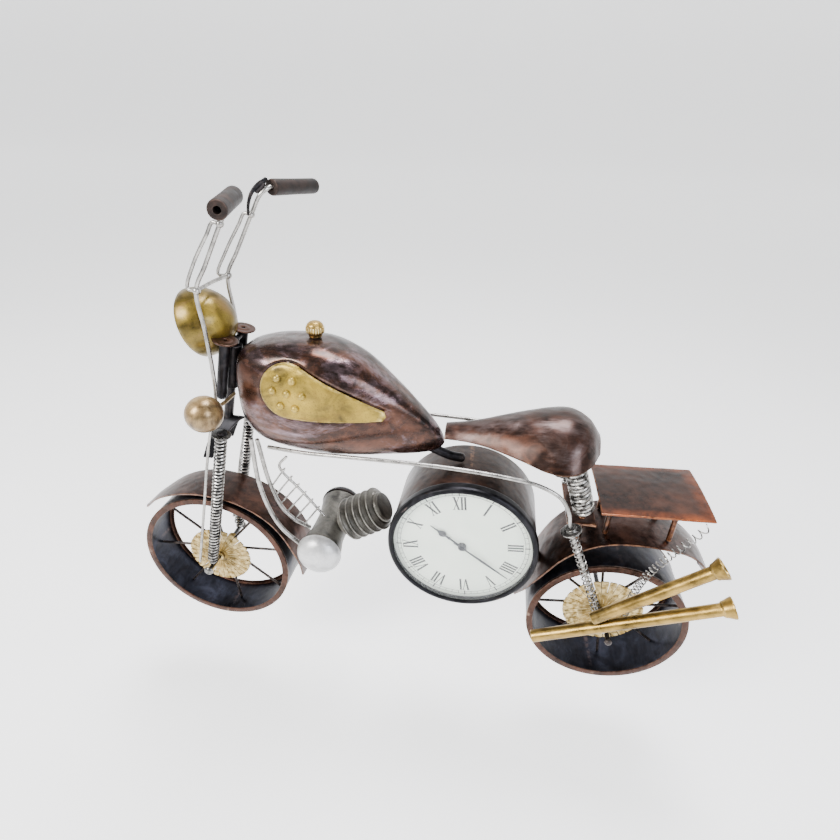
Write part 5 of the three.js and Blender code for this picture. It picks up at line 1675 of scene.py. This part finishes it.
class TINBIKE_OT_tank(PieceOperator, bpy.types.Operator):
    """Fuel tank with flat top, studded side panels and filler cap"""

    bl_idname = "tin_bike.tank"
    bl_label = "Tank"

    def build(self):
        skin = self.skin(150, 176)
        add("tank_body", "frame", finish("tank"), halved(skin, TANK_JOINT, True),
            ("tank_shell",))
        add("tank_floor", "frame", finish("tank"), halved(skin, TANK_JOINT, False),
            ("tank_base",))
        for side, flip in DRAWN_LEFT:
            shape = self.panel()
            skin = to_mesh("panel", shape if side == "left" else mirrored(shape))
            studs = bpy.data.meshes.new("studs")
            studs.from_pydata([spot(p * flip) for p in self.stud_places()], [], [])
            heads = grown("stud_heads", studs, stud_tree, radius=2.3 * MM, squash=(1, 0.95, 1),
                          material=finish("gold"))
            add("side_panel_" + side, "frame", finish("gold"), joined(skin, heads),
                ("tank_panel_" + side,))
        self.cap()

    def skin(self, rings, sides):
        """Closed skin of the tank from nose to tail."""
        mark = dents(9, 0.16, 2.0)
        rows = []
        for i in range(rings + 1):
            s = (1 - math.cos(math.pi * i / rings)) / 2
            wide, middle, up, down = tank_section(s)
            x = TANK_FRONT + (TANK_BACK - TANK_FRONT) * s
            row = []
            for k in range(sides):
                a = 2 * math.pi * k / sides
                c, n = math.cos(a), math.sin(a)
                y = wide * math.copysign(abs(c) ** 0.68, c)
                z = middle + (up * n ** 0.6 if n > 0 else -down * (-n) ** 0.8)
                inside = drop_depth(x, z)
                if inside > -0.09 and abs(c) > 0.25:
                    y -= math.copysign(0.9 * min(1.0, (inside + 0.09) / 0.07), c)
                p = vec(x, y, z)
                ease = min(1.0, min(i, rings - i) / 8)
                out = unit(vec((s - 0.5) * 0.6, c, n))
                row.append(p + out * (mark(p) - 0.12) * ease)
            rows.append(row)
        verts = [rows[0][0] * vec(1, 0, 1)] + [p for row in rows[1:-1] for p in row]
        verts.append(rows[-1][0] * vec(1, 0, 1))
        faces = [(0, 1 + (k + 1) % sides, 1 + k) for k in range(sides)]
        for i in range(rings - 2):
            for k in range(sides):
                m = (k + 1) % sides
                a, b = 1 + i * sides, 1 + (i + 1) * sides
                faces.append((a + k, a + m, b + m, b + k))
        base = 1 + (rings - 2) * sides
        faces += [(base + k, base + (k + 1) % sides, len(verts) - 1) for k in range(sides)]
        return np.array(verts), faces

    def panel(self):
        """Domed teardrop skin on the tank's left side."""
        rings, sides = 26, 120
        mark = dents(4, 0.1, 5.0)
        fronts, backs = [], []
        for i in range(rings + 1):
            r = i / rings
            for k in range(sides if i else 1):
                a = 2 * math.pi * k / sides
                reach = drop_edge(a) * r
                x, z = DROP_HEAD[0] + reach * math.cos(a), DROP_HEAD[1] + reach * math.sin(a)
                edge = max(0.0, 1 - (1 - r) * drop_edge(a) / 1.6)
                rise = 0.95 - 0.75 * edge ** 2.5
                y = tank_side(x, z) + GAP
                fronts.append(vec(x, -(y + rise + mark(vec(x, y, z)) * (1 - edge)), z))
                backs.append(vec(x, -(y - 0.55), z))
        count = len(fronts)
        faces = []
        for i in range(rings):
            for k in range(sides):
                m = (k + 1) % sides
                outer = 1 + i * sides
                if i == 0:
                    front = (0, outer + m, outer + k)
                else:
                    inner = 1 + (i - 1) * sides
                    front = (inner + k, inner + m, outer + m, outer + k)
                faces.append(front)
                faces.append(tuple(j + count for j in reversed(front)))
        last = 1 + (rings - 1) * sides
        for k in range(sides):
            m = (k + 1) % sides
            faces.append((last + k, last + m, last + m + count, last + k + count))
        return np.array(fronts + backs), faces

    def stud_places(self):
        """Middles of the seven studs of the left panel, in three rows."""
        places = []
        for drop, count, shift in ((-7.6, 2, -0.6), (0, 3, 0.4), (8, 2, 0.4)):
            for i in range(count):
                x = DROP_HEAD[0] + (i - (count - 1) / 2) * 8.4 + shift
                z = DROP_HEAD[1] - drop - (i - (count - 1) / 2) * 0.7
                places.append(vec(x, -(tank_side(x, z) + GAP + 0.95), z))
        return places

    def cap(self):
        """Ribbed filler knob on top of the tank."""
        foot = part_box("filler_cap")[0].z / MM
        centre = vec(-187.5, 0, foot)
        outline = soften([(0, 0), (3.7, 0), (3.8, 1.4), (4.6, 2.3), (4.95, 3.4), (4.95, 5.2), (4.4, 7.2),
                          (2.8, 8.6), (0, 9)], 0.5)
        body = to_mesh("cap", aim(turned(outline, 56), Z_AXIS, centre))
        rib = swept([centre + vec(4.75, 0, 2.7), centre + vec(4.85, 0, 4.2), centre + vec(4.7, 0, 5.8)],
                    0.4, 8, 0.6)
        ribs = ring_of("cap_ribs", rib, 22, centre, finish("brass"), axis=Z_AXIS)
        add("filler_knob", "frame", finish("brass"), joined(body, ribs), ("filler_cap",))


# ------------------------------------------------------------------ seat and rack
class TINBIKE_OT_seat(PieceOperator, bpy.types.Operator):
    """Broad saddle of beaten copper sheet"""

    bl_idname = "tin_bike.seat"
    bl_label = "Seat"

    front, back = -111.6, -26.0
    half = staticmethod(profile([(0, 7.5), (0.15, 9), (0.3, 13.5), (0.5, 22), (0.68, 27.5), (0.82, 28),
                                 (0.93, 21), (1, 9)]))
    crown = staticmethod(profile([(0, 174.5), (0.15, 177), (0.3, 180.5), (0.5, 185), (0.68, 189),
                                  (0.82, 190), (0.93, 185.5), (1, 178)]))
    edge = staticmethod(profile([(0, 170), (0.15, 170.5), (0.3, 171), (0.5, 170.5), (0.68, 168),
                                 (0.82, 168), (0.93, 170), (1, 172)]))

    def at(self, u, v):
        """Point of the saddle's surface, u along it and v across."""
        side = v * 2 - 1
        x = self.front + (self.back - self.front) * u
        z = self.crown(u) + (self.edge(u) - self.crown(u)) * abs(side) ** 2.4
        return vec(x, side * self.half(u), z - 1.2)

    def build(self):
        mark = dents(sizes().hammer, HAMMER_DEPTH, 11.0)
        shape = sheet(self.at, 110, 90, 1.2, mark)
        add("saddle", "frame", finish("seat"), bevelled("saddle", shape, 0.45, 50),
            ("seat_shell",))


class TINBIKE_OT_rack(PieceOperator, bpy.types.Operator):
    """Sheet rack behind the seat, on four legs, with a long stretched spring on each side"""

    bl_idname = "tin_bike.rack"
    bl_label = "Rack"

    front, back, half, low, high = -21.0, 38.0, 25.0, 144.0, 147.6

    def height(self, x):
        """Height of the sloping deck at x."""
        return self.low + (self.high - self.low) * (x - self.front) / (self.back - self.front)

    def build(self):
        def at(u, v):
            x = self.front + (self.back - self.front) * u
            side = v * 2 - 1
            return vec(x, side * self.half, self.height(x) - 1.2 * side * side - 1.2)
        deck = bevelled("deck", sheet(at, 60, 60, 1.2, dents(sizes().hammer, 0.2, 4.0)), 0.4, 50)
        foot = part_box("rack")[0].z / MM
        legs = []
        for x in (-13, 23):
            for y in (-12, 12):
                low = foot if x < 0 else foot + 0.6
                legs.append(swept([vec(x, y, low + 0.4), vec(x, y, (low + self.height(x)) / 2),
                                   vec(x, y, self.height(x) - 1.6)], 1.55, 16))
        add("rack_deck", "frame", finish("rack"), joined(deck, to_mesh("legs",
            merged(*legs))), ("rack",))
        path = [vec(self.back - 3.5, 24.5, self.high - 5.2), vec(31, 24.6, 135), vec(21, 24, 118),
                vec(12, 23.6, 99), vec(8, 23.6, 80), vec(7.5, 23.6, 60)]
        for side, flip in DRAWN_RIGHT:
            mesh = coil("long_spring_" + side, [p * flip for p in path], 30, 2.4, 0.36, finish("spring"),
                        crowding=1.25)
            add("long_spring_" + side, "frame", finish("spring"), mesh,
                ("stretch_spring_" + side,))


class TINBIKE_OT_exhausts(PieceOperator, bpy.types.Operator):
    """Two brass pipes with trumpet ends"""

    bl_idname = "tin_bike.exhausts"
    bl_label = "Exhausts"

    def build(self):
        y, r = -36.2, 3.7
        for name, start, end in (("lower", vec(-47, y, 50.5), vec(57.5, y, 98)),
                                 ("upper", vec(-14.5, y, 73.5), vec(44.5, y, 125.5))):
            length = np.linalg.norm(end - start)
            outline = soften([(r - 0.8, 0), (r, 0), (r, length - 6.6), (r + 0.9, length - 5.9),
                              (r + 1.1, length - 4.6), (r + 2.5, length - 1.0), (r + 2.6, length - 0.1),
                              (r + 2.0, length - 0.1), (r + 0.3, length - 4.6), (r - 0.7, length - 6.6)],
                             0.5, True)
            shape = aim(turned(outline, 64, True), end - start, start)
            add("pipe_" + name, "frame", finish("brass"), shape, ("exhaust_" + name,))


# ------------------------------------------------------------------ stage
CAMERA_TURN, CAMERA_LIFT, CAMERA_ROLL = math.radians(8.138), math.radians(29.107), math.radians(2)
CAMERA_LENS = 22.09
CAMERA_PLACE = (-89.86, -261.06, 322.36)
LIT_POINT = Vector((0, 0, 0.12))


class TINBIKE_OT_stage(PieceOperator, bpy.types.Operator):
    """Plain pale floor, soft lights and the camera"""

    bl_idname = "tin_bike.stage"
    bl_label = "Stage"

    def build(self):
        scene = bpy.context.scene
        f = Finish("pale floor")
        cloud = f.grain(3.0, 3.0)
        f.set(colour=f.ramp(cloud, [(0.3, (0.88, 0.88, 0.885)), (0.7, (0.91, 0.91, 0.91))]),
              roughness=f.span(cloud, 0.3, 0.7, 0.75, 0.85), emission_color=(1.0, 1.0, 1.0, 1),
              emission_strength=0.95)
        self.floor(f.material)
        world = bpy.data.worlds.new("Studio")
        scene.world = world
        world.use_nodes = True
        back = world.node_tree.nodes["Background"]
        back.inputs["Color"].default_value = (0.95, 0.97, 1.0, 1)
        back.inputs["Strength"].default_value = 0.55
        self.light("key", (-0.75, -0.85, 1.0), 0.5, 30.0, (1.0, 0.98, 0.95))
        self.light("fill", (0.8, -0.7, 0.6), 0.5, 10.0, (0.86, 0.9, 1.0))
        self.light("top", (0.05, 0.2, 1.1), 0.35, 14.0, (0.97, 0.96, 1.0))
        self.camera(scene)

    def floor(self, material):
        """Floor that rolls up into a backdrop far behind."""
        line = [(-6, 0), (4, 0), (5, 0.25), (5.8, 1.0), (6, 2.2), (6, 9)]
        path = curve([vec(y, 0, z) for y, z in line], 80)
        verts = [(x, p[0], p[2] - 0.0002) for p in path for x in (-40, 40)]
        faces = [(2 * i, 2 * i + 1, 2 * i + 3, 2 * i + 2) for i in range(len(path) - 1)]
        mesh = bpy.data.meshes.new("floor")
        mesh.from_pydata(verts, [], faces)
        mesh.shade_smooth()
        mesh.materials.append(material)
        new_object("floor", mesh)

    def light(self, name, where, size, power, colour):
        """Square area light, aimed at the middle of the bike."""
        lamp = bpy.data.lights.new(name, "AREA")
        lamp.shape = "SQUARE"
        lamp.size = size
        lamp.energy = power
        lamp.color = colour
        obj = bpy.data.objects.new(name, lamp)
        bpy.context.scene.collection.objects.link(obj)
        obj.location = where
        aim_at = LIT_POINT - Vector(where)
        obj.rotation_euler = aim_at.to_track_quat("-Z", "Y").to_euler()

    def camera(self, scene):
        """Camera from the dial side, a little above and rolled a little."""
        turn, lift, roll = CAMERA_TURN, CAMERA_LIFT, CAMERA_ROLL
        right = Vector((math.cos(turn), math.sin(turn), 0))
        back = Vector((math.sin(turn) * math.cos(lift), -math.cos(turn) * math.cos(lift), math.sin(lift)))
        up = back.cross(right)
        side = right * math.cos(roll) + up * math.sin(roll)
        top = up * math.cos(roll) - right * math.sin(roll)
        data = bpy.data.cameras.new("Camera")
        data.lens = CAMERA_LENS
        data.sensor_width = 36
        camera = bpy.data.objects.new("Camera", data)
        scene.collection.objects.link(camera)
        place = Matrix((side, top, back)).transposed().to_4x4()
        place.translation = Vector(spot(CAMERA_PLACE))
        camera.matrix_world = place
        scene.camera = camera


PIECES = (TINBIKE_OT_wheels, TINBIKE_OT_axles, TINBIKE_OT_fork, TINBIKE_OT_handlebar, TINBIKE_OT_lamps,
          TINBIKE_OT_fenders, TINBIKE_OT_clock_case, TINBIKE_OT_dial, TINBIKE_OT_hands,
          TINBIKE_OT_movement, TINBIKE_OT_frame, TINBIKE_OT_engine, TINBIKE_OT_tank, TINBIKE_OT_seat,
          TINBIKE_OT_rack, TINBIKE_OT_exhausts, TINBIKE_OT_stage)


class TINBIKE_PT_panel(bpy.types.Panel):
    """Sidebar panel that lists the settings and the pieces"""

    bl_idname = "TINBIKE_PT_panel"
    bl_label = "Tin motorcycle clock"
    bl_space_type = "VIEW_3D"
    bl_region_type = "UI"
    bl_category = "Tin bike"

    def draw(self, context):
        """Settings first, then a button for each piece."""
        layout = self.layout
        for title, group in (("Sizes", context.scene.tin_bike_sizes),
                             ("Colours", context.scene.tin_bike_colours)):
            column = layout.box().column()
            column.label(text=title)
            for key in group.__annotations__:
                column.prop(group, key)
        column = layout.column()
        for piece in PIECES:
            column.operator(piece.bl_idname)


CLASSES = (TinBikeSizes, TinBikeColours) + PIECES + (TINBIKE_PT_panel,)


def register():
    """Adds the classes and the two groups of settings."""
    for cls in CLASSES:
        bpy.utils.register_class(cls)
    bpy.types.Scene.tin_bike_sizes = PointerProperty(type=TinBikeSizes)
    bpy.types.Scene.tin_bike_colours = PointerProperty(type=TinBikeColours)


def unregister():
    """Takes away what register added."""
    del bpy.types.Scene.tin_bike_colours
    del bpy.types.Scene.tin_bike_sizes
    for cls in reversed(CLASSES):
        bpy.utils.unregister_class(cls)


def main():
    """Makes every piece in order."""
    register()
    for piece in PIECES:
        group, name = piece.bl_idname.split(".")
        getattr(getattr(bpy.ops, group), name)()
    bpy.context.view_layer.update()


if __name__ == "__main__":
    main()
